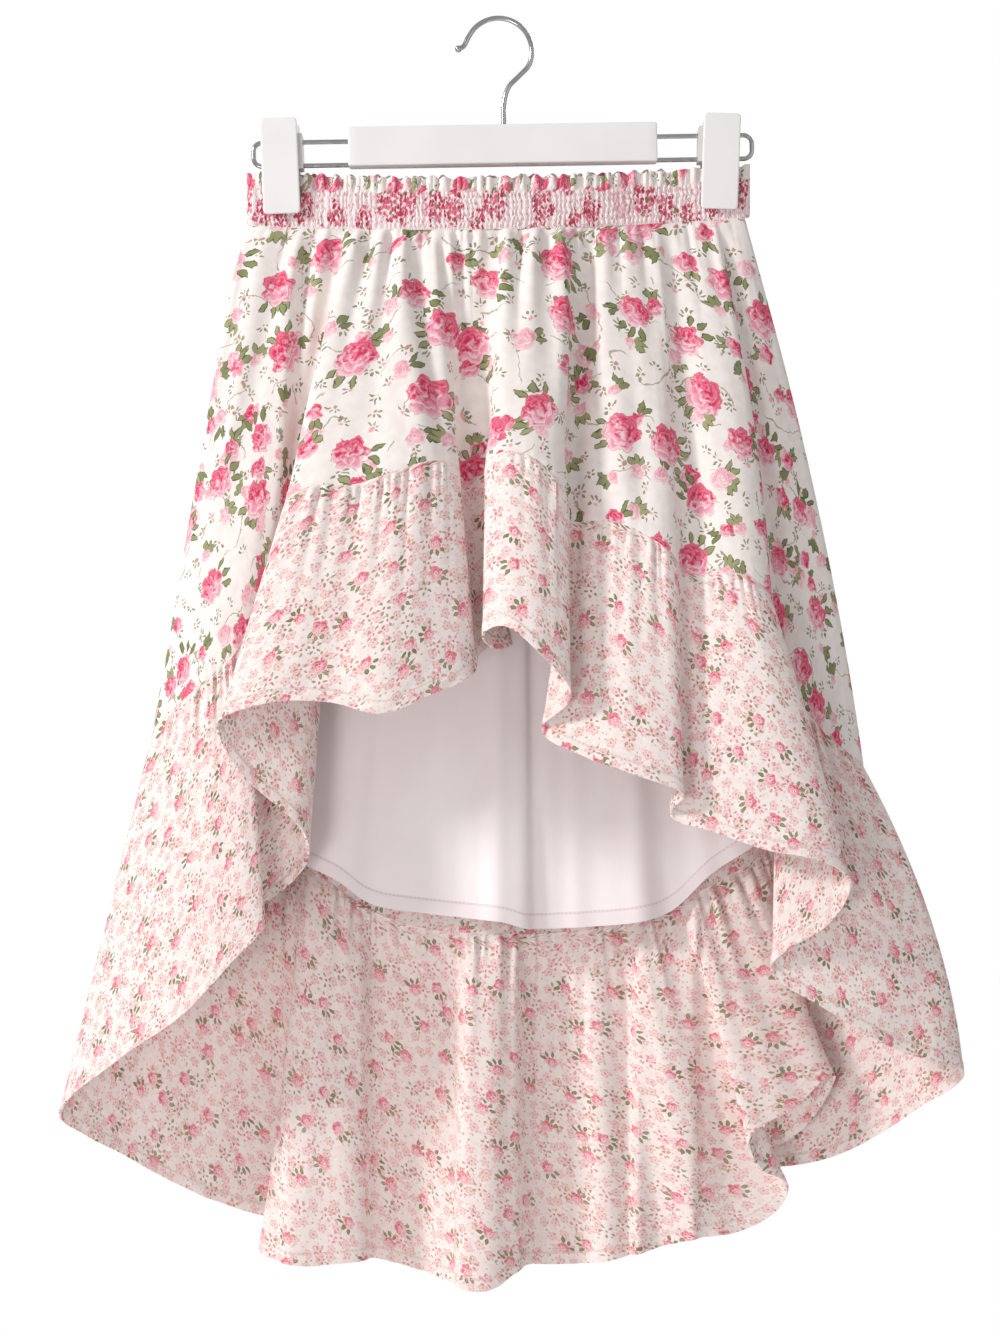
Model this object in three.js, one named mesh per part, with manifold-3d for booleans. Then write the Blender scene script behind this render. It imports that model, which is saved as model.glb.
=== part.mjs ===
// A child's high-low skirt on a clip hanger: a shirred waistband with a frilled edge, a gathered
// body, a gathered flounce that is short in front and long behind, and a plain lining at the back.
//
// Millimetres. +X is to the right of someone facing the front of the skirt, +Y is towards its back
// and +Z is up. The origin is where a rail bears on the inside of the hanger's hook.

import * as THREE from "three";
import { mergeVertices } from "three/addons/utils/BufferGeometryUtils.js";
import Module from "manifold-3d";

const wasm = await Module();
wasm.setup();

// Driving sizes of the garment.
const CLOTH = 1.2; // wall of the printed cloth
const LINING_CLOTH = 1.0; // wall of the plain lining
const BAND_CLOTH = 2.4; // wall of the shirred waistband
const SEAM_GAP = 0.4; // between two pieces at a seam, so that they stay clear at every fold
const HALF_WAIST = 150; // half the width of the waist, laid flat
const BAND_HEIGHT = 31.5; // frill and shirring together
const BAND_DROP = 89.2; // origin to the top of the band at the clips
const BAND_SAG = 4.5; // how far the band hangs between the clips
const BAND_TILT = THREE.MathUtils.degToRad(0.93); // the hanger's right end is the higher one
const WAIST_MID_DEPTH = 11; // half the opening of the waist midway between the clips
const WAIST_CLIP_DEPTH = 2.8; // half the opening where the clips pinch it
const WAIST_END_ROUND = 4; // the turn from front to back at each end of the waist
const WAIST_LENS = 117; // the waist is open this far to each side of its middle
const RIGHT_FLARE = 11; // how far the flounce bows outwards, halfway down its right side
const FLARE_FROM = 150; // the bow starts at this place across the seam,
const FLARE_OVER = 70; // and grows to the full height over this much
const GATHERS = 20; // gathers of the waist in front, and as many behind
const WAIST_GATHER_HEIGHT = 2.4; // how far a waist gather stands out
const FLOUNCE_GATHER_HEIGHT = 1.1; // how far a gather of the flounce stands out
const SHARP_BEND = 0.6; // radians over two columns: gathers fade out in such a turn
const TIGHT_RADIUS = 3.2; // folds tighter than this are rounded off
const ROUNDING_PASSES = 8;

// The widths and drops in the tables below are as they measure from a point this far in front of
// the skirt and this far below the origin. place() turns them into true positions at their depth.
const VIEW_DISTANCE = 1500;
const VIEW_DROP = 388;

// Every fold runs from the waist, over the seam between body and flounce, to the hem. A row gives
// its place across at the waist, and its place across, its drop and its depth at seam and hem.
// Front, from the left side seam to the right one. Depth is negative towards the front.
const FRONT_FOLDS = table(
  ["name", "waist", "seamX", "seamDrop", "seamDepth", "hemX", "hemDrop", "hemDepth"],
  [
    ["left side seam", -150, -208, 428, 0, -264, 656, 4],
    ["left wing, outer", -143, -196, 414, -10, -226, 622, -17],
    ["left wing, middle", -134, -181, 400, -18, -190, 597, -26],
    ["left wing, inner", -124, -167, 388, -22, -161, 566, -30],
    ["left wing's edge", -115, -152, 372, -22, -137, 538, -25],
    ["tucked under the left wing", -109, -141, 358, -17, -156, 534, -13],
    ["back of the left tuck", -103, -124, 343, -11, -138, 528, -4],
    ["inner turn of the left tuck", -98, -100, 330, -9, -115, 505, -10],
    ["front of the left tuck", -96, -104, 322, -19, -119, 484, -24],
    ["under the left panel", -94, -116, 310, -27, -144, 462, -30],
    ["left panel's outer edge", -92, -130, 291, -36, -170, 424, -40],
    ["left panel, outer", -79, -112, 279, -42, -141, 410, -50],
    ["left panel, middle", -67, -86, 278, -43, -102, 409, -50],
    ["left panel's crest", -56, -62, 270, -46, -70, 416, -56],
    ["left panel, inner", -47, -40, 264, -44, -42, 405, -51],
    ["left panel's inner edge", -38, -24, 267, -36, -16, 393, -42],
    ["centre trough, left", -29, -23, 278, -21, -11, 379, -25],
    ["centre trough, right", -13, -11, 273, -14, 12, 371, -18],
    ["under the centre fold", -6, -5, 270, -24, 1, 378, -29],
    ["centre fold's left edge", 1, -9, 266, -34, -11, 370, -38],
    ["centre fold, left", 12, 5, 258, -44, 3, 363, -50],
    ["centre fold, right", 25, 24, 264, -46, 23, 378, -54],
    ["centre fold's right edge", 38, 42, 286, -39, 44, 405, -47],
    ["turned under the centre fold", 46, 40, 296, -28, 34, 417, -36],
    ["inner turn right of centre", 53, 44, 301, -20, 23, 426, -26],
    ["right panel, inner", 62, 62, 300, -30, 50, 441, -36],
    ["right panel, middle", 74, 82, 305, -37, 80, 452, -45],
    ["right panel's edge", 88, 107, 322, -37, 114, 466, -43],
    ["turned under the right panel", 94, 109, 330, -26, 98, 477, -28],
    ["outer panel, inner", 104, 122, 333, -31, 126, 486, -35],
    ["outer panel, middle", 114, 140, 331, -38, 162, 498, -46],
    ["outer panel's crest", 121, 153, 335, -39, 192, 504, -50],
    ["outer panel's edge", 128, 164, 347, -33, 213, 517, -43],
    ["turned under the outer panel", 131, 160, 368, -22, 195, 545, -33],
    ["inner turn of the right tuck", 134, 163, 392, -13, 161, 568, -20],
    ["right wing, inner", 139, 185, 415, -14, 196, 593, -19],
    ["right wing, outer", 145, 206, 436, -10, 240, 618, -13],
  ],
);

// Back, from the right side seam to the left one. Depth is positive towards the back.
const BACK_FOLDS = table(
  ["name", "waist", "seamX", "seamDrop", "seamDepth", "hemX", "hemDrop", "hemDepth"],
  [
    ["right side seam", 150, 220, 450, 0, 281, 632, 2],
    ["right tail, outer", 143, 209, 462, 13, 256, 650, 24],
    ["right tail, middle", 133, 196, 474, 23, 222, 672, 43],
    ["right tail, inner", 122, 183, 484, 32, 192, 684, 54],
    ["hidden turn on the right", 112, 169, 492, 37, 152, 687, 60],
    ["behind the right drape", 105, 160, 499, 32, 186, 662, 43],
    ["right drape's outer edge", 98, 151, 506, 28, 205, 627, 29],
    ["right drape, middle", 89, 134, 515, 28, 180, 650, 24],
    ["right drape's point", 79, 114, 526, 28, 149, 672, 19],
    ["under the right drape", 75, 109, 528, 31, 160, 691, 27],
    ["right curl", 70, 105, 530, 34, 175, 698, 36],
    ["right curl's foot", 65, 100, 532, 36, 166, 715, 42],
    ["right ripple's flank", 58, 92, 536, 36, 143, 727, 42],
    ["right ripple", 51, 83, 540, 34, 120, 730, 38],
    ["right hollow", 44, 72, 543, 38, 97, 734, 49],
    ["inner right ripple", 36, 58, 545, 34, 68, 745, 33],
    ["centre hollow, right", 22, 34, 547, 39, 34, 747, 51],
    ["centre ripple's right edge", 9, 15, 548, 34, 14, 748, 38],
    ["centre ripple", -3, -5, 548, 28, -8, 761, 25],
    ["centre ripple's left edge", -15, -24, 547, 31, -29, 757, 31],
    ["centre hollow, left", -34, -55, 542, 38, -55, 748, 48],
    ["left ripple's edge", -50, -82, 531, 33, -80, 743, 35],
    ["left ripple", -60, -95, 522, 29, -110, 746, 29],
    ["left ripple, outer", -69, -105, 515, 28, -135, 743, 29],
    ["left drape's edge", -77, -113, 509, 29, -148, 736, 35],
    ["behind the left drape", -83, -118, 505, 33, -128, 726, 45],
    ["hidden turn on the left", -90, -124, 501, 37, -114, 720, 54],
    ["left tail, inner", -100, -133, 494, 38, -145, 716, 62],
    ["left tail, middle", -116, -153, 479, 35, -185, 702, 58],
    ["left tail, outer", -132, -178, 460, 26, -226, 680, 44],
    ["beside the left seam", -143, -196, 443, 14, -251, 667, 23],
  ],
);

// The lining hangs inside the back. A row gives its place at the waist and at its hem.
const LINING_FOLDS = table(
  ["name", "waist", "hemX", "hemDrop", "hemDepth"],
  [
    ["right edge", 143, 209, 453, 2.5],
    ["right side", 132, 188, 472, 12],
    ["right flank", 108, 152, 496, 19],
    ["right rise", 92, 128, 512, 20],
    ["right hollow", 76, 104, 534, 22],
    ["right ripple", 62, 84, 541, 16],
    ["right middle", 40, 50, 544, 21],
    ["beside the ridge", 17, 22, 545, 22],
    ["ridge's edge", 13, 16, 545, 15],
    ["ridge", 3, 2, 541, 12],
    ["ridge's foot", -11, -15, 539, 18],
    ["left middle", -38, -50, 535, 23],
    ["left hollow", -58, -77, 530, 20],
    ["left ripple", -74, -97, 516, 14],
    ["left rise", -88, -118, 505, 18],
    ["left flank", -106, -146, 484, 20],
    ["left side", -132, -178, 456, 13],
    ["left edge", -143, -198, 431, 2.5],
  ],
);

// Where the rings of each piece lie: 0 is the waist, 1 the seam and 2 the hem.
const BODY_LEVELS = [0, 0.08, 0.2, 0.4, 0.64, 0.85, 1];
const FLOUNCE_LEVELS = [1, 1.07, 1.22, 1.48, 1.76, 2];
const LINING_LEVELS = [0, 0.12, 0.3, 0.5, 0.7, 0.86, 1];
const FRONT_COLUMNS = 66;
const BACK_COLUMNS = 46;

// A table as one object a row, from its column names.
function table(columns, rows) {
  return rows.map((row) => Object.fromEntries(columns.map((name, i) => [name, row[i]])));
}

// The true position of a point that is seen so far across and down, and lies at this depth.
function place(across, drop, depth) {
  const spread = 1 + depth / VIEW_DISTANCE;
  return new THREE.Vector3(
    across * spread,
    depth,
    -(VIEW_DROP + (drop - VIEW_DROP) * spread),
  );
}

// Half the opening of the waist at a place across it: a lens that the clips and ends pinch.
function waistDepth(across) {
  const x = Math.abs(across);
  const lens = Math.max(0, 1 - (x / WAIST_LENS) ** 2);
  const open = WAIST_CLIP_DEPTH + (WAIST_MID_DEPTH - WAIST_CLIP_DEPTH) * lens ** 1.5;
  const end = Math.max(0, x - (HALF_WAIST - WAIST_END_ROUND)) / WAIST_END_ROUND;
  return open * Math.sqrt(Math.max(0, 1 - end * end));
}

// The drop of the band's upper edge at a place across it.
function bandDrop(across) {
  const sag = BAND_SAG * (1 - (across / HALF_WAIST) ** 2);
  return BAND_DROP - across * Math.tan(BAND_TILT) + sag;
}

// How far a gather stands out at a place across the waist: uneven in width and in height.
function gatherWave(across) {
  const turn = (GATHERS * (across + HALF_WAIST)) / (2 * HALF_WAIST);
  const uneven = 0.16 * Math.sin(turn * 0.9 + 0.4) + 0.1 * Math.sin(turn * 2.3);
  return Math.sin(2 * Math.PI * (turn + uneven)) * (0.8 + 0.2 * Math.sin(turn * 1.7 + 1));
}

// A gather rises just below the stitching and fades out on the way down.
function fade(share, rise, reach) {
  return Math.min(1, 0.3 + (0.7 * share) / rise) * Math.max(0, 1 - share / reach) ** 1.2;
}

// A fold's position at a level between 0, the waist, and 2, the hem.
function foldPoint(fold, side, level) {
  const waist = {
    x: fold.waist,
    drop: bandDrop(fold.waist) + BAND_HEIGHT,
    depth: side * waistDepth(fold.waist),
  };
  if (level <= 1) {
    const deep = level ** 0.8;
    return place(
      THREE.MathUtils.lerp(waist.x, fold.seamX, level),
      THREE.MathUtils.lerp(waist.drop, fold.seamDrop, level),
      THREE.MathUtils.lerp(waist.depth, fold.seamDepth, deep),
    );
  }
  const share = level - 1;
  const outer = THREE.MathUtils.clamp((fold.seamX - FLARE_FROM) / FLARE_OVER, 0, 1);
  return place(
    THREE.MathUtils.lerp(fold.seamX, fold.hemX, share) + 4 * RIGHT_FLARE * outer * share * (1 - share),
    THREE.MathUtils.lerp(fold.seamDrop, fold.hemDrop, share),
    THREE.MathUtils.lerp(fold.seamDepth, fold.hemDepth, share),
  );
}

// How many columns each stretch between two folds gets, by its length at the waist and the hem.
function columnShares(folds, closing, side, columns) {
  const all = [...folds, closing];
  const lengths = (level) =>
    folds.map((fold, i) =>
      foldPoint(fold, side, level).distanceTo(foldPoint(all[i + 1], side, level)),
    );
  const sum = (list) => list.reduce((a, b) => a + b, 0);
  const [atWaist, atHem] = [lengths(0), lengths(2)];
  const [waistSum, hemSum] = [sum(atWaist), sum(atHem)];
  return folds.map((_, i) =>
    Math.max(
      1,
      Math.round(columns * ((0.55 * atWaist[i]) / waistSum + (0.45 * atHem[i]) / hemSum)),
    ),
  );
}

// The columns of the whole round: each is a share of the closed curve through the folds. There
// are two for each column of the body, because the flounce is gathered twice as finely.
function roundColumns() {
  const shares = [
    ...columnShares(FRONT_FOLDS, BACK_FOLDS[0], -1, FRONT_COLUMNS),
    ...columnShares(BACK_FOLDS, FRONT_FOLDS[0], 1, BACK_COLUMNS),
  ];
  const at = [];
  shares.forEach((count, fold) => {
    for (let k = 0; k < 2 * count; k++) at.push((fold + k / (2 * count)) / shares.length);
  });
  const frontCount = 2 * shares.slice(0, FRONT_FOLDS.length).reduce((a, b) => a + b, 0);
  return { at, frontCount };
}

// The curve of the whole round at one level, and the outward direction at a share of it.
function roundCurve(level) {
  const points = [
    ...FRONT_FOLDS.map((fold) => foldPoint(fold, -1, level)),
    ...BACK_FOLDS.map((fold) => foldPoint(fold, 1, level)),
  ];
  return new THREE.CatmullRomCurve3(points, true, "centripetal");
}

// Rounds off the sharpest turns of a closed ring of points.
function rounded(points) {
  const count = points.length;
  let ring = points;
  for (let pass = 0; pass < ROUNDING_PASSES; pass++) {
    ring = ring.map((p, i) => {
      const [before, after] = [ring[(i + count - 1) % count], ring[(i + 1) % count]];
      const coming = new THREE.Vector3().subVectors(p, before);
      const going = new THREE.Vector3().subVectors(after, p);
      const radius = (coming.length() + going.length()) / 2 / coming.angleTo(going);
      const weight = Math.min(1, TIGHT_RADIUS / radius) ** 2;
      const middle = new THREE.Vector3().addVectors(before, after).multiplyScalar(0.5);
      return p.clone().lerp(middle, 0.6 * weight);
    });
  }
  return ring;
}

// The points of the round at one level, with the small gathers of waist and seam on them.
function roundPoints(level, columns) {
  const curve = roundCurve(level);
  const waistCurve = roundCurve(0);
  const count = columns.at.length;
  const ring = rounded(columns.at.map((at) => curve.getPoint(at)));
  const tangents = ring.map((_, i) =>
    new THREE.Vector3().subVectors(ring[(i + 1) % count], ring[(i + count - 1) % count]),
  );
  return columns.at.map((at, i) => {
    const point = ring[i].clone();
    const along = tangents[i];
    const bend = tangents[(i + count - 1) % count].angleTo(tangents[(i + 1) % count]);
    const straight = Math.max(0, 1 - bend / SHARP_BEND);
    const outward = new THREE.Vector3(along.y, -along.x, 0).normalize();
    const front = i < columns.frontCount;
    let height;
    if (level <= 1) {
      const room = Math.min(1, Math.abs(point.y) / 9);
      const wave = gatherWave(waistCurve.getPoint(at).x + (front ? 0 : 5));
      height = WAIST_GATHER_HEIGHT * fade(level, 0.07, 0.75) * wave * room;
    } else {
      const wave = straight * (i % 2 ? 1 : -1);
      height = FLOUNCE_GATHER_HEIGHT * fade(level - 1, 0.05, 0.55) * wave;
    }
    return point.addScaledVector(outward, level === 1 ? 0 : height);
  });
}

// The level normals of a grid of points whose rows close on themselves, or don't. They are kept
// level so that the end of a wall isn't twisted where a seam climbs steeply through a fold.
function gridNormals(rows, closed) {
  const count = rows[0].length;
  return rows.map((row, r) =>
    row.map((_, c) => {
      const left = closed ? row[(c + count - 1) % count] : row[Math.max(0, c - 1)];
      const right = closed ? row[(c + 1) % count] : row[Math.min(count - 1, c + 1)];
      const up = rows[Math.max(0, r - 1)][c];
      const down = rows[Math.min(rows.length - 1, r + 1)][c];
      const across = new THREE.Vector3().subVectors(right, left);
      const drop = new THREE.Vector3().subVectors(down, up);
      return new THREE.Vector3().crossVectors(drop, across).setZ(0).normalize();
    }),
  );
}

// The two faces of a wall of the given thickness about a grid of points.
function faces(rows, normals, thickness) {
  const shifted = (by) =>
    rows.map((row, r) => row.map((p, c) => p.clone().addScaledVector(normals[r][c], by)));
  return { outer: shifted(thickness / 2), inner: shifted(-thickness / 2) };
}

// Moves the last row or column of a face back from its edge.
function drawBack(edge, next, by) {
  edge.forEach((p, i) => {
    const towards = new THREE.Vector3().subVectors(next[i], p);
    p.addScaledVector(towards.normalize(), by);
  });
}

const firstRow = (rows) => [rows[0], rows[1]];
const lastRow = (rows) => [rows.at(-1), rows.at(-2)];
const firstColumn = (rows) => [rows.map((r) => r[0]), rows.map((r) => r[1])];
const lastColumn = (rows) => [rows.map((r) => r.at(-1)), rows.map((r) => r.at(-2))];

// Leaves half a seam's gap at each of the named edges of a wall.
function leaveSeams(wall, edges) {
  for (const side of [wall.outer, wall.inner])
    for (const edge of edges) drawBack(...edge(side), SEAM_GAP / 2);
  return wall;
}

// A closed solid from the two faces of a wall.
function wallGeometry({ outer, inner }) {
  const [rows, columns] = [outer.length, outer[0].length];
  const positions = [outer, inner].flatMap((side) => side.flatMap((row) => row)).flatMap((p) => [
    p.x,
    p.y,
    p.z,
  ]);
  const index = [];
  const quad = (a, b, c, d) => index.push(a, b, c, a, c, d);
  const out = (r, c) => r * columns + c;
  const back = (r, c) => rows * columns + r * columns + c;
  for (let r = 0; r < rows - 1; r++)
    for (let c = 0; c < columns - 1; c++) {
      quad(out(r, c), out(r + 1, c), out(r + 1, c + 1), out(r, c + 1));
      quad(back(r, c), back(r, c + 1), back(r + 1, c + 1), back(r + 1, c));
    }
  const [lastR, lastC] = [rows - 1, columns - 1];
  for (let c = 0; c < lastC; c++) {
    quad(out(0, c), out(0, c + 1), back(0, c + 1), back(0, c));
    quad(out(lastR, c), back(lastR, c), back(lastR, c + 1), out(lastR, c + 1));
  }
  for (let r = 0; r < lastR; r++) {
    quad(out(r, 0), back(r, 0), back(r + 1, 0), out(r + 1, 0));
    quad(out(r, lastC), out(r + 1, lastC), back(r + 1, lastC), back(r, lastC));
  }
  return new THREE.BufferGeometry()
    .setAttribute("position", new THREE.Float32BufferAttribute(positions, 3))
    .setIndex(index);
}

// The part of a grid's columns from one column to another, going round past the last one.
function columnsOf(rows, from, to, step = 1) {
  const count = rows[0].length;
  return rows.map((row) => {
    const kept = [];
    for (let c = from; c <= to; c += step) kept.push(row[c % count].clone());
    return kept;
  });
}

// Puts every second point of a row midway between its neighbours, so that the flounce's upper
// edge is the line that the body's lower edge has.
function straighten(row) {
  for (let c = 1; c < row.length - 1; c += 2)
    row[c].copy(row[c - 1]).add(row[c + 1]).multiplyScalar(0.5);
}

// Body and flounce, front and back, from one round of folds.
function skirtWalls() {
  const columns = roundColumns();
  const count = columns.at.length;
  const levels = [...BODY_LEVELS, ...FLOUNCE_LEVELS.slice(1)];
  const rows = levels.map((level) => roundPoints(level, columns));
  const whole = faces(rows, gridNormals(rows, true), CLOTH);
  const seamRow = BODY_LEVELS.length - 1;
  const spans = { front: [0, columns.frontCount], back: [columns.frontCount, count] };
  const walls = {};
  for (const [name, [from, to]] of Object.entries(spans)) {
    const cut = (first, last, step) => ({
      outer: columnsOf(whole.outer.slice(first, last), from, to, step),
      inner: columnsOf(whole.inner.slice(first, last), from, to, step),
    });
    const body = cut(0, seamRow + 1, 2);
    const flounce = cut(seamRow, rows.length, 1);
    straighten(flounce.outer[0]);
    straighten(flounce.inner[0]);
    walls[`body_${name}`] = leaveSeams(body, [firstRow, lastRow, firstColumn, lastColumn]);
    walls[`flounce_${name}`] = leaveSeams(flounce, [firstRow, firstColumn, lastColumn]);
  }
  return walls;
}

// The lining: a plain sheet just inside the back of the body.
function liningWall() {
  const LINING_INSET = 3.1; // from the back's middle to the lining's at the waist
  const rows = LINING_LEVELS.map((level) => {
    const points = LINING_FOLDS.map((fold) => {
      const depth = waistDepth(fold.waist) - LINING_INSET;
      const drop = bandDrop(fold.waist) + BAND_HEIGHT;
      return place(
        THREE.MathUtils.lerp(fold.waist, fold.hemX, level),
        THREE.MathUtils.lerp(drop, fold.hemDrop, level),
        THREE.MathUtils.lerp(depth, fold.hemDepth, level),
      );
    });
    return new THREE.CatmullRomCurve3(points, false, "centripetal").getPoints(
      2 * (LINING_FOLDS.length - 1),
    );
  });
  return leaveSeams(faces(rows, gridNormals(rows, false), LINING_CLOTH), [firstRow]);
}

// Half of the waistband: the frill stands above the top row of shirring, and the rows of
// shirring draw the outside in between rows of puckers. The inside is plain.
function bandWall(side) {
  const SHIRRING = table(
    ["drop", "puff", "wave"],
    [
      [0, 0, 1.5],
      [3.5, -0.1, 1.1],
      [7, -0.8, 0.2],
      [13, 0.5, 0.5],
      [19.5, -0.8, 0.2],
      [26, 0.5, 0.5],
      [BAND_HEIGHT, -0.5, 0.3],
    ],
  );
  const FRILL_RISE = 0.9; // how unevenly the frill's edge stands
  const columns = 3 * GATHERS;
  const line = [];
  for (let c = 0; c <= columns; c++) {
    const flat = 1 - (2 * c) / columns;
    const round = Math.cos((Math.PI * c) / columns);
    const across = side * HALF_WAIST * THREE.MathUtils.lerp(flat, round, 0.12);
    line.push(new THREE.Vector2(across, side * waistDepth(across)));
  }
  const mirrored = (p) => new THREE.Vector2(p.x, -p.y);
  const outward = line.map((_, c) => {
    const before = line[c - 1] ?? mirrored(line[1]);
    const after = line[c + 1] ?? mirrored(line[c - 1]);
    return new THREE.Vector2(after.y - before.y, before.x - after.x).normalize();
  });
  const row = ({ drop, puff, wave }, outside) =>
    line.map((p, c) => {
      const wavy = wave * gatherWave(p.x + (side > 0 ? 5 : 0));
      const frill = drop < 7;
      const room = Math.min(1, Math.abs(p.y) / 5);
      const relief = outside ? BAND_CLOTH / 2 + (puff + (frill ? 0 : wavy)) * room : -BAND_CLOTH / 2;
      const shift = relief + (frill ? wavy * room : 0);
      const stand = drop === 0 ? FRILL_RISE * room * Math.sin(c * 1.9) : 0;
      const level = bandDrop(p.x) + drop + stand;
      return place(p.x + shift * outward[c].x, level, p.y + shift * outward[c].y);
    });
  const wall = {
    outer: SHIRRING.map((entry) => row(entry, true)),
    inner: SHIRRING.map((entry) => row(entry, false)),
  };
  return leaveSeams(wall, [lastRow, firstColumn, lastColumn]);
}

// The hanger.
const BAR = { width: 185, height: 23.5, depth: 12, round: 1.2, bevel: 0.8, x: 2.5, drop: 75 };
const HOOK = { radius: 20, wire: 1.5, neckX: 3.2, neckBend: 50, seat: 8, bead: 2.1 };
const WIRE = { radius: 1.4, above: 3.9, below: 10.2, reach: 149.5, corner: 5, seat: 10 };
const PLATE = { width: 22, height: 56.5, thick: 3, round: 2.4, bevel: 0.5, spread: 4.1 };
const SADDLE = { width: 14.5, inboard: 6.2, over: 4, under: 2.6 };
const SOCKET_GAP = 0.35;
const CLIPS = table(
  ["name", "x", "drop", "lean"],
  [
    ["left", -130.3, 88.8, -2],
    ["right", 132.7, 86, 1.7],
  ],
);

// A manifold-3d solid from a closed geometry.
function solid(geometry) {
  const bare = geometry.clone();
  bare.deleteAttribute("normal");
  bare.deleteAttribute("uv");
  const merged = mergeVertices(bare, 1e-4);
  return new wasm.Manifold(
    new wasm.Mesh({
      numProp: 3,
      vertProperties: new Float32Array(merged.attributes.position.array),
      triVerts: new Uint32Array(merged.index.array),
    }),
  );
}

// A geometry from a manifold-3d solid.
function geometryOf(made) {
  const { vertProperties, triVerts } = made.getMesh();
  return new THREE.BufferGeometry()
    .setAttribute("position", new THREE.Float32BufferAttribute(vertProperties, 3))
    .setIndex([...triVerts]);
}

// A round wire along a curve.
function wireGeometry(path, radius, steps, sides = 8) {
  const section = new THREE.Shape(
    Array.from({ length: sides }, (_, i) => {
      const turn = (2 * Math.PI * i) / sides;
      return new THREE.Vector2(radius * Math.cos(turn), radius * Math.sin(turn));
    }),
  );
  return new THREE.ExtrudeGeometry(section, { steps, extrudePath: path, bevelEnabled: false });
}

// A flat board with rounded corners and softened edges, centred on the origin, facing -Y.
function boardGeometry({ width, height, depth, round, bevel }) {
  const [w, h] = [width / 2 - bevel, height / 2 - bevel];
  const shape = new THREE.Shape()
    .moveTo(-w + round, -h)
    .lineTo(w - round, -h)
    .absarc(w - round, -h + round, round, -Math.PI / 2, 0)
    .lineTo(w, h - round)
    .absarc(w - round, h - round, round, 0, Math.PI / 2)
    .lineTo(-w + round, h)
    .absarc(-w + round, h - round, round, Math.PI / 2, Math.PI)
    .lineTo(-w, -h + round)
    .absarc(-w + round, -h + round, round, Math.PI, 1.5 * Math.PI);
  const board = new THREE.ExtrudeGeometry(shape, {
    depth: depth - 2 * bevel,
    bevelThickness: bevel,
    bevelSize: bevel,
    bevelSegments: 1,
    curveSegments: 3,
  });
  return board.translate(0, 0, -depth / 2 + bevel).rotateX(Math.PI / 2);
}

// The hook: a bead at its tip, most of a circle, and a bend back to the neck.
function hookGeometry() {
  const middle = new THREE.Vector3(0, 0, HOOK.wire - HOOK.radius);
  const onCircle = (degrees) => {
    const turn = THREE.MathUtils.degToRad(degrees);
    return new THREE.Vector3(
      middle.x + HOOK.radius * Math.cos(turn),
      0,
      middle.z + HOOK.radius * Math.sin(turn),
    );
  };
  const tip = new THREE.Vector3(-24, 0, -17);
  const points = [tip, new THREE.Vector3(-21, 0, -15.4)];
  for (let degrees = 155; degrees >= -25; degrees -= 20) points.push(onCircle(degrees));
  points.push(
    new THREE.Vector3(12, 0, -33.6),
    new THREE.Vector3(6, 0, -40),
    new THREE.Vector3(HOOK.neckX, 0, -HOOK.neckBend),
    new THREE.Vector3(HOOK.neckX, 0, -57),
    new THREE.Vector3(HOOK.neckX, 0, BAR.height / 2 - BAR.drop - HOOK.seat),
  );
  const curve = new THREE.CatmullRomCurve3(points, false, "centripetal");
  const wire = solid(wireGeometry(curve, HOOK.wire, 44));
  const bead = new THREE.SphereGeometry(HOOK.bead, 10, 7).translate(tip.x, tip.y, tip.z);
  return geometryOf(wire.add(solid(bead)));
}

// A rod for cutting a socket, along X or Z.
function socketRod(radius, length, alongZ) {
  const rod = new THREE.CylinderGeometry(radius, radius, length, 12);
  return solid(alongZ ? rod.rotateX(Math.PI / 2) : rod.rotateZ(Math.PI / 2));
}

// The bar, with sockets for the four wire ends and for the hook's neck.
function barGeometry() {
  let bar = solid(boardGeometry(BAR));
  for (const end of [-1, 1])
    for (const z of [WIRE.above, -WIRE.below]) {
      const x = end * (BAR.width / 2 - WIRE.seat / 2);
      const rod = socketRod(WIRE.radius + SOCKET_GAP, WIRE.seat + 1, false);
      bar = bar.subtract(rod.translate([x + end, 0, z]));
    }
  const neck = socketRod(HOOK.wire + SOCKET_GAP, HOOK.seat + 2, true);
  const neckX = HOOK.neckX - BAR.x;
  return geometryOf(bar.subtract(neck.translate([neckX, 0, BAR.height / 2 - HOOK.seat / 2])));
}

// One end's wire: out of the bar, round the end and back, in the bar's own frame.
function loopGeometry(end) {
  const start = end * (BAR.width / 2 - WIRE.seat + 1);
  const far = end * WIRE.reach;
  const bend = end * (WIRE.reach - WIRE.corner);
  const at = (x, z) => new THREE.Vector3(x, 0, z);
  const path = new THREE.CurvePath();
  const [top, foot, corner] = [WIRE.above, -WIRE.below, WIRE.corner];
  path.add(new THREE.LineCurve3(at(start, top), at(bend, top)));
  path.add(new THREE.QuadraticBezierCurve3(at(bend, top), at(far, top), at(far, top - corner)));
  path.add(new THREE.LineCurve3(at(far, top - corner), at(far, foot + corner)));
  path.add(new THREE.QuadraticBezierCurve3(at(far, foot + corner), at(far, foot), at(bend, foot)));
  path.add(new THREE.LineCurve3(at(bend, foot), at(start, foot)));
  return wireGeometry(path, WIRE.radius, 38, 6);
}

// Where the bar and its wires stand: tilted about the foot of the hook.
const barFrame = new THREE.Matrix4()
  .makeTranslation(HOOK.neckX, 0, -BAR.drop)
  .multiply(new THREE.Matrix4().makeRotationY(-BAND_TILT))
  .multiply(new THREE.Matrix4().makeTranslation(BAR.x - HOOK.neckX, 0, 0));

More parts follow.
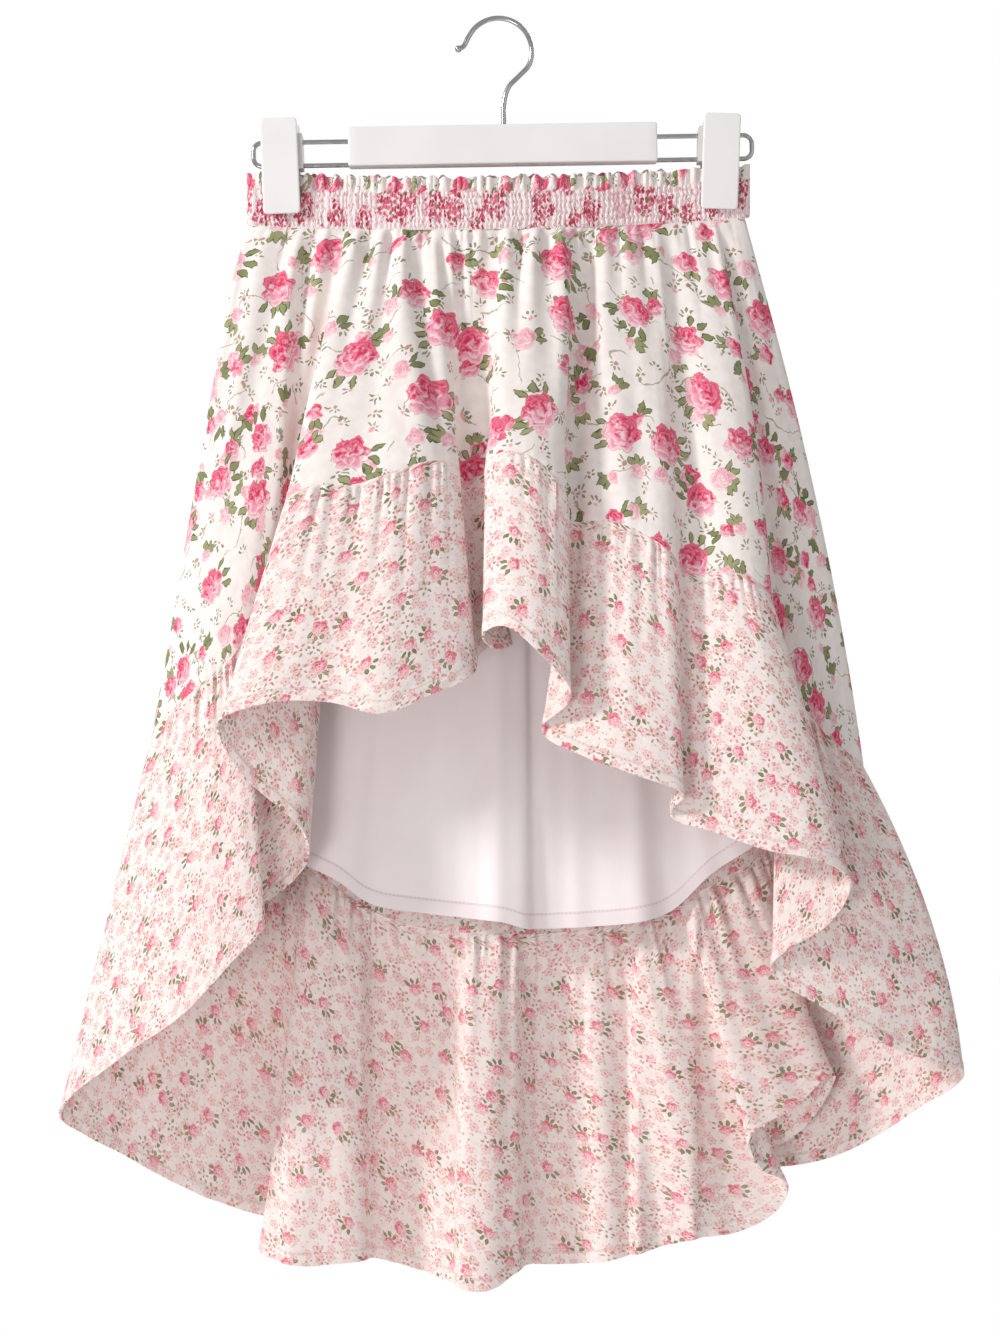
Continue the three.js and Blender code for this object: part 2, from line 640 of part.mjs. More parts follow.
// The block between a clip's two plates, which the two wires run through. It shows past the
// plates' inboard edges.
function saddleGeometry(clip) {
  const lean = THREE.MathUtils.degToRad(clip.lean);
  const slope = Math.tan(THREE.MathUtils.degToRad(PLATE.spread));
  const wireZ = (z) => new THREE.Vector3(clip.x - BAR.x, 0, z).applyMatrix4(barFrame).z;
  const [high, low] = [wireZ(WIRE.above) + SADDLE.over, wireZ(-WIRE.below) - SADDLE.under];
  const half = (z) => plateInside() + (z + clip.drop) * slope - SOCKET_GAP;
  const side = new THREE.Shape()
    .moveTo(-half(low), low)
    .lineTo(half(low), low)
    .lineTo(half(high), high)
    .lineTo(-half(high), high);
  const block = new THREE.ExtrudeGeometry(side, { depth: SADDLE.width, bevelEnabled: false })
    .translate(0, 0, -SADDLE.width / 2)
    .applyMatrix4(new THREE.Matrix4().set(0, 0, 1, 0, 1, 0, 0, 0, 0, 1, 0, 0, 0, 0, 0, 1))
    .translate(0, 0, clip.drop)
    .rotateY(lean)
    .translate(clip.x - Math.sign(clip.x) * SADDLE.inboard, 0, -clip.drop);
  let saddle = solid(block);
  for (const z of [WIRE.above, -WIRE.below]) {
    const rod = socketRod(WIRE.radius + SOCKET_GAP, 3 * SADDLE.width, false);
    const turned = rod.rotate([0, -THREE.MathUtils.radToDeg(BAND_TILT), 0]);
    saddle = saddle.subtract(turned.translate([clip.x, 0, wireZ(z)]));
  }
  return geometryOf(saddle);
}

// From the middle plane to the inner face of a plate, halfway up the clip.
function plateInside() {
  const bite = WAIST_CLIP_DEPTH + BAND_CLOTH / 2 + 1.2;
  return bite + (PLATE.height / 2) * Math.sin(THREE.MathUtils.degToRad(PLATE.spread));
}

// Builds the whole part.
const skirt = new THREE.Group();

function addMesh(parent, name, geometry, color, roughness, metalness = 0) {
  const material = new THREE.MeshStandardMaterial({ color, roughness, metalness });
  const mesh = new THREE.Mesh(geometry, material);
  mesh.name = name;
  parent.add(mesh);
  return mesh;
}

const PRINT = "#f3e3e1";
const SMALL_PRINT = "#efd9d6";
const PLAIN = "#efe4e6";
const WHITE = "#f2f2f1";
const CHROME = "#b9bbbd";

addMesh(skirt, "waistband_front", wallGeometry(bandWall(-1)), PRINT, 0.85);
addMesh(skirt, "waistband_back", wallGeometry(bandWall(1)), PRINT, 0.85);
for (const [name, wall] of Object.entries(skirtWalls()))
  addMesh(skirt, name, wallGeometry(wall), name.startsWith("body") ? PRINT : SMALL_PRINT, 0.85);
addMesh(skirt, "lining_back", wallGeometry(liningWall()), PLAIN, 0.7);

addMesh(skirt, "hanger_hook", hookGeometry(), CHROME, 0.2, 1);
const bar = new THREE.Group();
bar.applyMatrix4(barFrame);
skirt.add(bar);
addMesh(bar, "hanger_bar", barGeometry(), WHITE, 0.5);
addMesh(bar, "hanger_wire_left", loopGeometry(-1), CHROME, 0.2, 1);
addMesh(bar, "hanger_wire_right", loopGeometry(1), CHROME, 0.2, 1);

for (const clip of CLIPS) {
  const holder = new THREE.Group();
  holder.position.set(clip.x, 0, -clip.drop);
  holder.rotation.y = THREE.MathUtils.degToRad(clip.lean);
  skirt.add(holder);
  for (const [name, face] of [["front", -1], ["back", 1]]) {
    const board = boardGeometry({ ...PLATE, depth: PLATE.thick });
    const plate = addMesh(holder, `clip_${clip.name}_${name}`, board, WHITE, 0.5);
    plate.position.y = face * (plateInside() + PLATE.thick / 2);
    plate.rotation.x = -face * THREE.MathUtils.degToRad(PLATE.spread);
  }
  addMesh(skirt, `clip_${clip.name}_saddle`, saddleGeometry(clip), WHITE, 0.5);
}

export default skirt;
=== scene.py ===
"""Looks of a child's high-low skirt on a clip hanger.

The cloth is worked out in millimetres from the same folds as the solids, with finer gathers, hems
and wrinkles, and then made in metres. +X is to the right of someone facing the front, +Y is
towards the back and +Z is up. The origin is where a rail bears on the inside of the hook.
"""

import math

import bpy
import numpy as np
from mathutils import Matrix, Vector


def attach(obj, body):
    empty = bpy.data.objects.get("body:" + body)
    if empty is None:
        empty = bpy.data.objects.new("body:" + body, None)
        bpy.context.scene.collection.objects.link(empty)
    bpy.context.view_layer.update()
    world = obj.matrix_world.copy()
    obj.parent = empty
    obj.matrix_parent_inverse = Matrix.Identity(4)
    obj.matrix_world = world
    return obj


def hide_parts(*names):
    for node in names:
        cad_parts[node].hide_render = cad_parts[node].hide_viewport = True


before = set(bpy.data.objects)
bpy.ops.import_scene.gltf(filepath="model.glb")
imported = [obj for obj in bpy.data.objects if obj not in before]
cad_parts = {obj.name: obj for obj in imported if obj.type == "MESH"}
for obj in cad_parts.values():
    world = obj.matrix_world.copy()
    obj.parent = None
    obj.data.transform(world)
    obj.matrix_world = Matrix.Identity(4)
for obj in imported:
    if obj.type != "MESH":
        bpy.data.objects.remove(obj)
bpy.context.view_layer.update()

# Sizes of the garment in millimetres, as in the solids.
HALF_WAIST = 150
BAND_HEIGHT = 31.5
BAND_DROP = 89.2
BAND_SAG = 4.5
BAND_TILT = math.radians(0.93)
WAIST_MID_DEPTH = 11
WAIST_CLIP_DEPTH = 2.8
WAIST_END_ROUND = 4
WAIST_LENS = 117
RIGHT_FLARE = 11
FLARE_FROM = 150
FLARE_OVER = 70
GATHERS = 20
WAIST_GATHER_HEIGHT = 2.4
TIGHT_RADIUS = 3.2
SHARP_BEND = 0.6
ROUNDING_PASSES = 8
ROUNDING = 0.6
STRAIGHT_FROM = 1 / 2.2
WAIST_COLUMN_SHARE = 0.55
DEPTH_EASE = 0.8
FRONT_COLUMNS = 66
BACK_COLUMNS = 46
LINING_INSET = 3.1
VIEW_DISTANCE = 1500
VIEW_DROP = 388
FRONT = -1
BACK = 1

# The folds, as in the solids, one in a row: the place across at the waist, then across, drop and
# depth at the seam and at the hem.
FRONT_FOLDS = [
    # The left wing, from the side seam to its edge.
    (-150, -208, 428, 0, -264, 656, 4),
    (-143, -196, 414, -10, -226, 622, -17),
    (-134, -181, 400, -18, -190, 597, -26),
    (-124, -167, 388, -22, -161, 566, -30),
    (-115, -152, 372, -22, -137, 538, -25),
    # The tuck between the left wing and the left panel.
    (-109, -141, 358, -17, -156, 534, -13),
    (-103, -124, 343, -11, -138, 528, -4),
    (-98, -100, 330, -9, -115, 505, -10),
    (-96, -104, 322, -19, -119, 484, -24),
    (-94, -116, 310, -27, -144, 462, -30),
    # The left panel.
    (-92, -130, 291, -36, -170, 424, -40),
    (-79, -112, 279, -42, -141, 410, -50),
    (-67, -86, 278, -43, -102, 409, -50),
    (-56, -62, 270, -46, -70, 416, -56),
    (-47, -40, 264, -44, -42, 405, -51),
    (-38, -24, 267, -36, -16, 393, -42),
    # The trough and the turn under the centre fold.
    (-29, -23, 278, -21, -11, 379, -25),
    (-13, -11, 273, -14, 12, 371, -18),
    (-6, -5, 270, -24, 1, 378, -29),
    # The centre fold.
    (1, -9, 266, -34, -11, 370, -38),
    (12, 5, 258, -44, 3, 363, -50),
    (25, 24, 264, -46, 23, 378, -54),
    (38, 42, 286, -39, 44, 405, -47),
    # The turn right of the centre fold.
    (46, 40, 296, -28, 34, 417, -36),
    (53, 44, 301, -20, 23, 426, -26),
    # The right panel and the turn under it.
    (62, 62, 300, -30, 50, 441, -36),
    (74, 82, 305, -37, 80, 452, -45),
    (88, 107, 322, -37, 114, 466, -43),
    (94, 109, 330, -26, 98, 477, -28),
    # The outer panel and the tuck under it.
    (104, 122, 333, -31, 126, 486, -35),
    (114, 140, 331, -38, 162, 498, -46),
    (121, 153, 335, -39, 192, 504, -50),
    (128, 164, 347, -33, 213, 517, -43),
    (131, 160, 368, -22, 195, 545, -33),
    (134, 163, 392, -13, 161, 568, -20),
    # The right wing.
    (139, 185, 415, -14, 196, 593, -19),
    (145, 206, 436, -10, 240, 618, -13),
]
BACK_FOLDS = [
    # The right tail, from the side seam to its hidden turn.
    (150, 220, 450, 0, 281, 632, 2),
    (143, 209, 462, 13, 256, 650, 24),
    (133, 196, 474, 23, 222, 672, 43),
    (122, 183, 484, 32, 192, 684, 54),
    (112, 169, 492, 37, 152, 687, 60),
    # The right drape.
    (105, 160, 499, 32, 186, 662, 43),
    (98, 151, 506, 28, 205, 627, 29),
    (89, 134, 515, 28, 180, 650, 24),
    (79, 114, 526, 28, 149, 672, 19),
    (75, 109, 528, 31, 160, 691, 27),
    # The right curl and ripple.
    (70, 105, 530, 34, 175, 698, 36),
    (65, 100, 532, 36, 166, 715, 42),
    (58, 92, 536, 36, 143, 727, 42),
    (51, 83, 540, 34, 120, 730, 38),
    # The hollows and ripples right of the centre.
    (44, 72, 543, 38, 97, 734, 49),
    (36, 58, 545, 34, 68, 745, 33),
    (22, 34, 547, 39, 34, 747, 51),
    (9, 15, 548, 34, 14, 748, 38),
    # The ripples left of the centre.
    (-3, -5, 548, 28, -8, 761, 25),
    (-15, -24, 547, 31, -29, 757, 31),
    (-34, -55, 542, 38, -55, 748, 48),
    (-50, -82, 531, 33, -80, 743, 35),
    (-60, -95, 522, 29, -110, 746, 29),
    (-69, -105, 515, 28, -135, 743, 29),
    # The left drape and its hidden turn.
    (-77, -113, 509, 29, -148, 736, 35),
    (-83, -118, 505, 33, -128, 726, 45),
    (-90, -124, 501, 37, -114, 720, 54),
    # The left tail.
    (-100, -133, 494, 38, -145, 716, 62),
    (-116, -153, 479, 35, -185, 702, 58),
    (-132, -178, 460, 26, -226, 680, 44),
    (-143, -196, 443, 14, -251, 667, 23),
]
# The lining: the place across at the waist, then across, drop and depth at its hem.
LINING_FOLDS = [
    # From its right edge to the right ripple.
    (143, 209, 453, 2.5),
    (132, 188, 472, 12),
    (108, 152, 496, 19),
    (92, 128, 512, 20),
    (76, 104, 534, 22),
    (62, 84, 541, 16),
    # Its middle, with the ridge.
    (40, 50, 544, 21),
    (17, 22, 545, 22),
    (13, 16, 545, 15),
    (3, 2, 541, 12),
    (-11, -15, 539, 18),
    (-38, -50, 535, 23),
    # From the left ripple to its left edge.
    (-58, -77, 530, 20),
    (-74, -97, 516, 14),
    (-88, -118, 505, 18),
    (-106, -146, 484, 20),
    (-132, -178, 456, 13),
    (-143, -198, 431, 2.5),
]


# The cloth's surface.


def lerp(a, b, share):
    return a + (b - a) * share


def place(across, drop, depth):
    """The true position of what is seen so far across and down, and lies at this depth."""
    spread = 1 + depth / VIEW_DISTANCE
    return np.stack([across * spread, depth, -(VIEW_DROP + (drop - VIEW_DROP) * spread)], axis=-1)


def waist_depth(across):
    """Half the opening of the waist: a lens that the clips and ends pinch."""
    x = np.abs(across)
    lens = np.maximum(0, 1 - (x / WAIST_LENS) ** 2)
    open_by = WAIST_CLIP_DEPTH + (WAIST_MID_DEPTH - WAIST_CLIP_DEPTH) * lens**1.5
    end = np.maximum(0, x - (HALF_WAIST - WAIST_END_ROUND)) / WAIST_END_ROUND
    return open_by * np.sqrt(np.maximum(0, 1 - end * end))


def band_drop(across):
    """How far down the waistband's upper edge is, seen from the front."""
    return BAND_DROP - across * math.tan(BAND_TILT) + BAND_SAG * (1 - (across / HALF_WAIST) ** 2)


# The waves that an uneven one is made of: the rate and the size of each.
UNEVEN_WAVES = ((1.0, 0.45), (1.73, 0.3), (2.91, 0.2), (0.41, 0.35))
UNEVEN_LENGTH = 2.2
UNEVEN_START = 0.618


def uneven(x, seed):
    """A smooth uneven wave between about -1 and 1, whose features are about one unit long."""
    return sum(
        size * np.sin(math.tau * (rate * x / UNEVEN_LENGTH + UNEVEN_START * seed * (k + 1)))
        for k, (rate, size) in enumerate(UNEVEN_WAVES)
    )


def gather_wave(across):
    """The solids' own gathers under the waistband, between about -1 and 1."""
    turn = GATHERS * (across + HALF_WAIST) / (2 * HALF_WAIST)
    wander = 0.16 * np.sin(turn * 0.9 + 0.4) + 0.1 * np.sin(turn * 2.3)
    return np.sin(math.tau * (turn + wander)) * (0.8 + 0.2 * np.sin(turn * 1.7 + 1))


def ruck_wave(along, pitch, seed):
    """Gathers of an uneven pitch and height along a seam, with broad backs and narrow hollows."""
    turn = along / pitch + 0.35 * uneven(along / (2.3 * pitch), seed)
    height = 0.65 + 0.35 * uneven(along / (3.1 * pitch), seed + 3)
    return (1 - 1.6 * np.abs(np.sin(math.pi * turn)) ** 1.5) * -height


def fade(share, rise, reach):
    """How much of the solids' gathers is left so far down the body."""
    return np.minimum(1, 0.3 + 0.7 * share / rise) * np.maximum(0, 1 - share / reach) ** 1.2


def fold_points(folds, side, level):
    """Where the folds stand at a level between 0, the waist, 1, the seam, and 2, the hem."""
    waist, *rest = np.array(folds, dtype=float).T
    seam, hem = rest[:3], rest[3:]
    top = (waist, band_drop(waist) + BAND_HEIGHT, side * waist_depth(waist))
    if level <= 1:
        across, drop = (lerp(top[k], seam[k], level) for k in (0, 1))
        return place(across, drop, lerp(top[2], seam[2], level**DEPTH_EASE))
    share = level - 1
    outer = np.clip((seam[0] - FLARE_FROM) / FLARE_OVER, 0, 1)
    across = lerp(seam[0], hem[0], share) + 4 * RIGHT_FLARE * outer * share * (1 - share)
    return place(across, lerp(seam[1], hem[1], share), lerp(seam[2], hem[2], share))


def curve(points, at, closed):
    """A centripetal Catmull-Rom curve through points, at shares of its whole."""
    count = len(points)
    spans = count if closed else count - 1
    position = np.asarray(at) * spans
    start = np.minimum(np.floor(position), spans - (0 if closed else 1)).astype(int)
    w = (position - start)[:, None]
    if closed:
        p = [points[(start + k) % count] for k in (-1, 0, 1, 2)]
    else:
        longer = np.vstack([2 * points[0] - points[1], points, 2 * points[-1] - points[-2]])
        p = [longer[start + k] for k in (0, 1, 2, 3)]
    d = [np.sqrt(np.linalg.norm(p[k + 1] - p[k], axis=1))[:, None] for k in range(3)]
    t1 = (p[1] - p[0]) / d[0] - (p[2] - p[0]) / (d[0] + d[1]) + (p[2] - p[1]) / d[1]
    t2 = (p[2] - p[1]) / d[1] - (p[3] - p[1]) / (d[1] + d[2]) + (p[3] - p[2]) / d[2]
    t1, t2 = t1 * d[1], t2 * d[1]
    return (
        p[1]
        + t1 * w
        + (3 * (p[2] - p[1]) - 2 * t1 - t2) * w**2
        + (2 * (p[1] - p[2]) + t1 + t2) * w**3
    )


def column_shares(folds, closing, side, columns):
    """How many columns each stretch between two folds gets."""

    def lengths(level):
        points = fold_points([*folds, closing], side, level)
        return np.linalg.norm(np.diff(points, axis=0), axis=1)

    waist, hem = lengths(0), lengths(2)
    shares = columns * lerp(hem / hem.sum(), waist / waist.sum(), WAIST_COLUMN_SHARE)
    return np.maximum(1, np.floor(shares + 0.5)).astype(int)


FRONT_SHARES = column_shares(FRONT_FOLDS, BACK_FOLDS[0], FRONT, FRONT_COLUMNS)
BACK_SHARES = column_shares(BACK_FOLDS, FRONT_FOLDS[0], BACK, BACK_COLUMNS)
SHARES = [*FRONT_SHARES, *BACK_SHARES]
ROUND_AT = np.array(
    [
        (fold + k / (2 * count)) / len(SHARES)
        for fold, count in enumerate(SHARES)
        for k in range(2 * count)
    ]
)
FRONT_COUNT = 2 * int(FRONT_SHARES.sum())


def rounded(points):
    """Rounds off the sharpest turns of a closed ring of points."""
    ring = points
    for _ in range(ROUNDING_PASSES):
        before, after = np.roll(ring, 1, axis=0), np.roll(ring, -1, axis=0)
        coming, going = ring - before, after - ring
        a, b = np.linalg.norm(coming, axis=1), np.linalg.norm(going, axis=1)
        turn = np.arccos(np.clip((coming * going).sum(axis=1) / (a * b), -1, 1))
        radius = (a + b) / 2 / np.maximum(turn, 1e-9)
        weight = np.minimum(1, TIGHT_RADIUS / radius) ** 2
        ring = lerp(ring, (before + after) / 2, ROUNDING * weight[:, None])
    return ring


def ring_at(level):
    """The round at one level: its points, and how straight it is at each, from 0 to 1."""
    folds = [fold_points(FRONT_FOLDS, FRONT, level), fold_points(BACK_FOLDS, BACK, level)]
    ring = rounded(curve(np.vstack(folds), ROUND_AT, True))
    along = np.roll(ring, -1, axis=0) - np.roll(ring, 1, axis=0)
    along /= np.linalg.norm(along, axis=1)[:, None]
    alike = (np.roll(along, 1, axis=0) * np.roll(along, -1, axis=0)).sum(axis=1)
    bend = np.arccos(np.clip(alike, -1, 1))
    return ring, np.maximum(0, 1 - bend / SHARP_BEND)


def panel_grid(levels, first, last, finer):
    """A grid of points for the columns from first to last, with so many steps to a column.

    Beside it comes how straight the cloth is there, from 0 at a sharp turn to 1.
    """
    columns = np.arange(first, last + 0.5 / finer, 1 / finer)
    count = len(ROUND_AT)
    rows, straights = [], []
    for level in levels:
        ring, straight = ring_at(level)
        rows.append(curve(ring, (columns % count) / count, True))
        straights.append(np.interp(columns, np.arange(2 * count), np.tile(straight, 2)))
    return np.array(rows), np.minimum(1, np.array(straights) / STRAIGHT_FROM)


def grid_normals(grid):
    """Which way the cloth faces at each point, outward."""
    across, drop = np.gradient(grid, axis=1), np.gradient(grid, axis=0)
    normals = np.cross(drop, across)
    return normals / np.maximum(np.linalg.norm(normals, axis=-1), 1e-9)[..., None]


def lengths_along(grid, axis):
    """The distance along the rows or columns of a grid from their first point."""
    steps = np.linalg.norm(np.diff(grid, axis=axis), axis=-1)
    start = np.zeros_like(np.take(steps, [0], axis=axis))
    return np.concatenate([start, np.cumsum(steps, axis=axis)], axis=axis)


def eased(count, top, bottom):
    """Shares from 0 to 1 that lie closer together near the top and the bottom, by so much."""
    t = np.linspace(0, 1, count)
    return t - np.where(t < 0.5, top, bottom) * np.sin(math.tau * t) / math.tau


# Materials. Sizes on the flat cloth are in metres here.
HEM = 0.0072
LINING_HEM = 0.009
FACING = 0.023
THREAD = 0.0005
STITCH = 0.0026
# How far the inside's print is faded into a darker tint: the cloth's paler reverse, and painted shade.
REVERSE_FADE_AND_SHADE = 0.1
OUTSIDE_ROUGH = 0.82
INSIDE_ROUGH = 0.86
LINING_ROUGH = 0.6
FRILL_SQUEEZE = (1.6, 1.0, 1.0)
FACING_SHIFT = (0.3, 0.2, 0.0)

# Colours of the prints.
LARGE_GROUND = ("#FAF4F0", "#F5ECE8")
SMALL_GROUND = ("#F9F1ED", "#F6E6E2")
SHIRRED_GROUND = ("#F4D3D9", "#FFFAF8")
STEM = "#9A8A68"
LEAF = ("#7F865A", "#A9AC80")
LEAF_EDGE = "#5C613E"
BUD = ("#EFA3B0", "#B87F66")
CRUSHED_GROUND = "#F8D3DA"
CRUSHED_ROSE = ("#E26E8A", "#B92347")
CRUSHED_LEAF = "#7F8259"
DASHES = ("#DE7C93", "#B98D84")
DOTS = ("#EFB9BD", "#A8A884")
FLORET_RIM = ("#EFA9B4", "#DB9F92")
FLORET = "#FAE3E0"
FLORET_HEART = "#C9826F"
RING_DOTS = ("#8C8E66", "#E48C9D")
RING_DOTS_BROWN = "#C98F78"
RING_HEART = "#C4596C"
ROSE_HEART = ("#FADADF", "#D2506F")

# Pinks of a rose, deep ones above and light ones below: beside a petal's rim, inside it, and the
# rim itself.
STRONG_PINK = (("#F2809A", "#D6325E", "#C82A52"), ("#FBDDE3", "#EE9FB2", "#E0738D"))
FADED_PINK = (("#F8CFD6", "#EE9FAF", "#E8909F"), ("#FDEDEE", "#F6C9D0", "#EDA9B3"))
SMALL_PINK = (("#F3A6B0", "#D95C72", "#D0526A"), ("#FCE1E2", "#F3B4BC", "#E38D9C"))

# Rings of petals, from the outside: each one's size, petals and how deep its scallops are.
LARGE_RINGS = ((1.0, 6, 0.2), (0.8, 4, 0.28), (0.58, 3, 0.3), (0.36, 3, 0.35), (0.18, 2, 0.3))
SMALL_RINGS = ((1.0, 5, 0.22), (0.68, 3, 0.3), (0.38, 2, 0.4))
PETAL_SLANT = 1.6
PATCHY_TONE = 2.6
PATCHY_EDGE = 0.2

# Colours of the lining, the hems and the hanger.
LINING_TONES = ("#FFF8F9", "#FCF2F4")
LINING_EDGE = "#F9EFF1"
# Painted shade: the darker pink-beige that the cloth's inside is faded towards.
PAINTED_INSIDE_SHADE = "#DDB8B0"
# Painted shade along the groove of a hem's stitching.
PAINTED_GROOVE_SHADE = "#C39A92"
HEM_THREAD = "#FDF6F3"
WHITE = ("#FBFBFA", "#F6F6F5")
BLOCK_GREY = ("#DFDFDE", "#D4D4D3")
PLATED = ("#B4B6B8", "#D2D3D5")
FLOOR_TONES = ("#F0F0EF", "#EEEEED")


def tone(code):
    """A colour from a hexadecimal code, as linear red, green, blue and alpha."""
    parts = [int(code[k : k + 2], 16) / 255 for k in (1, 3, 5)]
    return (*(c / 12.92 if c <= 0.04045 else ((c + 0.055) / 1.055) ** 2.4 for c in parts), 1)


class Nodes:
    """Short ways to add nodes to one material or node group."""

    def __init__(self, tree):
        self.tree = tree

    def put(self, socket, value):
        """Links another node's output to a socket, or sets the socket's own value or colour."""
        if isinstance(value, bpy.types.NodeSocket):
            self.tree.links.new(value, socket)
        else:
            socket.default_value = tone(value) if isinstance(value, str) else value

    def add(self, kind, inputs=(), **settings):
        node = self.tree.nodes.new("ShaderNode" + kind)
        for key, value in settings.items():
            setattr(node, key, value)
        for key, value in dict(inputs).items():
            self.put(node.inputs[key], value)
        return node

    def math(self, operation, *values):
        return self.add("Math", enumerate(values), operation=operation).outputs[0]

    def minus(self, a, b):
        return self.math("SUBTRACT", a, b)

    def times_plus(self, a, b, c):
        """a times b, plus c."""
        return self.math("MULTIPLY_ADD", a, b, c)

    def product(self, *values):
        total = values[0]
        for value in values[1:]:
            total = self.math("MULTIPLY", total, value)
        return total

    def vector(self, operation, a, b):
        return self.add("VectorMath", {0: a, 1: b}, operation=operation).outputs[0]

    def length(self, vector):
        return self.add("VectorMath", {0: vector}, operation="LENGTH").outputs["Value"]

    def split(self, vector):
        return self.add("SeparateXYZ", {"Vector": vector}).outputs

    def noise(self, place, scale, detail, dimensions="2D"):
        """A noise texture's outputs: its value and its colour."""
        inputs = {"Vector": place, "Scale": scale, "Detail": detail}
        return self.add("TexNoise", inputs, noise_dimensions=dimensions).outputs

    def drawn(self, group, place):
        """The colour that a print's node group gives at a place."""
        return self.add("Group", {0: place}, node_tree=group).outputs[0]

    def ramp(self, value, low, high, start=0.0, end=1.0):
        """A smooth step from start to end as the value goes from low to high."""
        inputs = enumerate((value, low, high, start, end))
        return self.add("MapRange", inputs, interpolation_type="SMOOTHSTEP").outputs[0]

    def less(self, a, b, soft):
        """1 where a is below b and 0 where it is above, with a soft edge."""
        return self.ramp(self.minus(b, a), 0.0, soft)

    def mix(self, share, a, b, blend="MIX"):
        return self.add("Mix", {0: share, 6: a, 7: b}, data_type="RGBA", blend_type=blend).outputs[2]

    def over(self, colour, ink, *shares):
        """A colour with an ink over it, as far as the product of the shares says."""
        return self.mix(self.product(*shares), colour, ink)


def scattered(n, place, cell, randomness, shift):
    """The way here from the nearest motif's middle, its length, and three random numbers."""
    moved = n.vector("ADD", place, (shift, 0.7 * shift, 0.0))
    inputs = {"Vector": moved, "Scale": 1 / cell, "Randomness": randomness}
    cells = n.add("TexVoronoi", inputs, voronoi_dimensions="2D", feature="F1").outputs
    offset = n.vector("SUBTRACT", moved, cells["Position"])
    luck = n.add("SeparateColor", {"Color": cells["Color"]}).outputs
    return offset, n.length(offset), (luck[0], luck[1], luck[2])


def polar(n, offset, turn):
    """The angle of an offset, plus a share of a whole turn."""
    parts = n.split(offset)
    return n.times_plus(turn, math.tau, n.math("ARCTAN2", parts[1], parts[0]))


def warped(n, place, scale, amount, detail):
    """The place, shifted unevenly, as a hand-drawn line wanders, and the noise that shifts it."""
    noise = n.noise(place, scale, detail)
    drift = n.vector("SUBTRACT", noise["Color"], (0.5, 0.5, 0.5))
    return n.vector("ADD", place, n.vector("MULTIPLY", drift, (amount, amount, 0.0))), noise[0]


def rose(n, offset, radius, luck, rings, pinks, patches):
    """A rose of nested scalloped petals, deep above and light below: its shape and its colour."""
    deep, light = pinks
    uneven_tone = n.minus(patches, 0.5)
    scaled = n.vector("DIVIDE", offset, radius)
    parts = n.split(scaled)
    slant = n.product(n.minus(luck[0], 0.5), PETAL_SLANT)
    high = n.times_plus(uneven_tone, PATCHY_TONE, n.times_plus(parts[0], slant, parts[1]))
    upper = n.ramp(high, -0.35, 0.45)
    rim = n.mix(upper, light[2], deep[2])
    colour, shape = None, None
    for k, (size, lobes, scallop) in enumerate(rings):
        moved = n.vector("SUBTRACT", scaled, (0.07 * k * (-1) ** k, 0.1 * k, 0.0))
        angle = polar(n, moved, luck[1])
        swing = n.math("ABSOLUTE", n.math("SINE", n.times_plus(angle, lobes / 2, 1.3 * k)))
        edge = n.times_plus(swing, size * scallop, size * (1 - scallop))
        edge = n.times_plus(uneven_tone, PATCHY_EDGE, edge)
        depth = n.minus(edge, n.length(moved))
        fold = n.ramp(depth, 0.04, 0.3)
        petal = n.mix(upper, n.mix(fold, *light[:2]), n.mix(fold, *deep[:2]))
        petal = n.mix(n.ramp(depth, 0.02, 0.08), rim, petal)
        inside = n.ramp(depth, 0.0, 0.05)
        if shape is None:
            shape, colour = inside, petal
        else:
            colour = n.mix(inside, colour, petal)
    return shape, colour


def leaf_fan(n, offset, turn, middle, length, width, count, pitch):
    """Leaves in a fan round a motif's middle, and their hearts inside a darker edge."""
    angle = n.math("WRAP", n.math("ADD", polar(n, offset, turn), 3.1), math.pi, -math.pi)
    fan = n.less(n.math("ABSOLUTE", angle), count * pitch / 2, 0.02)
    if count % 2 == 0:
        angle = n.math("ADD", angle, pitch / 2)
    swing = n.math("WRAP", angle, pitch / 2, -pitch / 2)
    distance = n.length(offset)
    along = n.math("DIVIDE", n.minus(distance, middle), length)
    beside = n.math("ABSOLUTE", n.product(distance, swing))
    bulge = n.times_plus(n.product(along, along), -width, width)
    leaf = n.product(n.less(beside, bulge, 0.0003), fan)
    heart = n.less(beside, n.product(bulge, 0.72), 0.0004)
    return leaf, heart


def leaves_on(n, colour, here, offset, luck, *fan):
    """A colour with a fan of olive leaves over it."""
    shape, heart = leaf_fan(n, offset, luck[0], *fan)
    return n.over(colour, n.mix(heart, LEAF_EDGE, n.mix(luck[1], *LEAF)), shape, here)


def either(n, chance, share, pair, soft=0.02):
    """One of two colours for a whole motif, the second where its chance is above the share."""
    return n.mix(n.ramp(chance, share, share + soft), *pair)


# Fans of leaves and a ring of dots: how far out each one's middle is, half its length and width,
# how many there are, and the turn from one to the next.
TWIG = (0.0034, 0.0017, 0.0008, 4, 0.8)
SMALL_LEAVES = (0.0058, 0.0023, 0.0012, 3, 0.62)
FIVE_DOTS = (0.0033, 0.0015, 0.0009, 5, math.tau / 5)
LARGE_LEAF = (0.0047, 0.0024)
LEAF_TURN = 0.5

# Sprigs of the large print: the pitch and shift of their cells, and the share of cells left out.
SPRIGS = ((0.0155, 0.31, 0.3), (0.021, 0.77, 0.2))

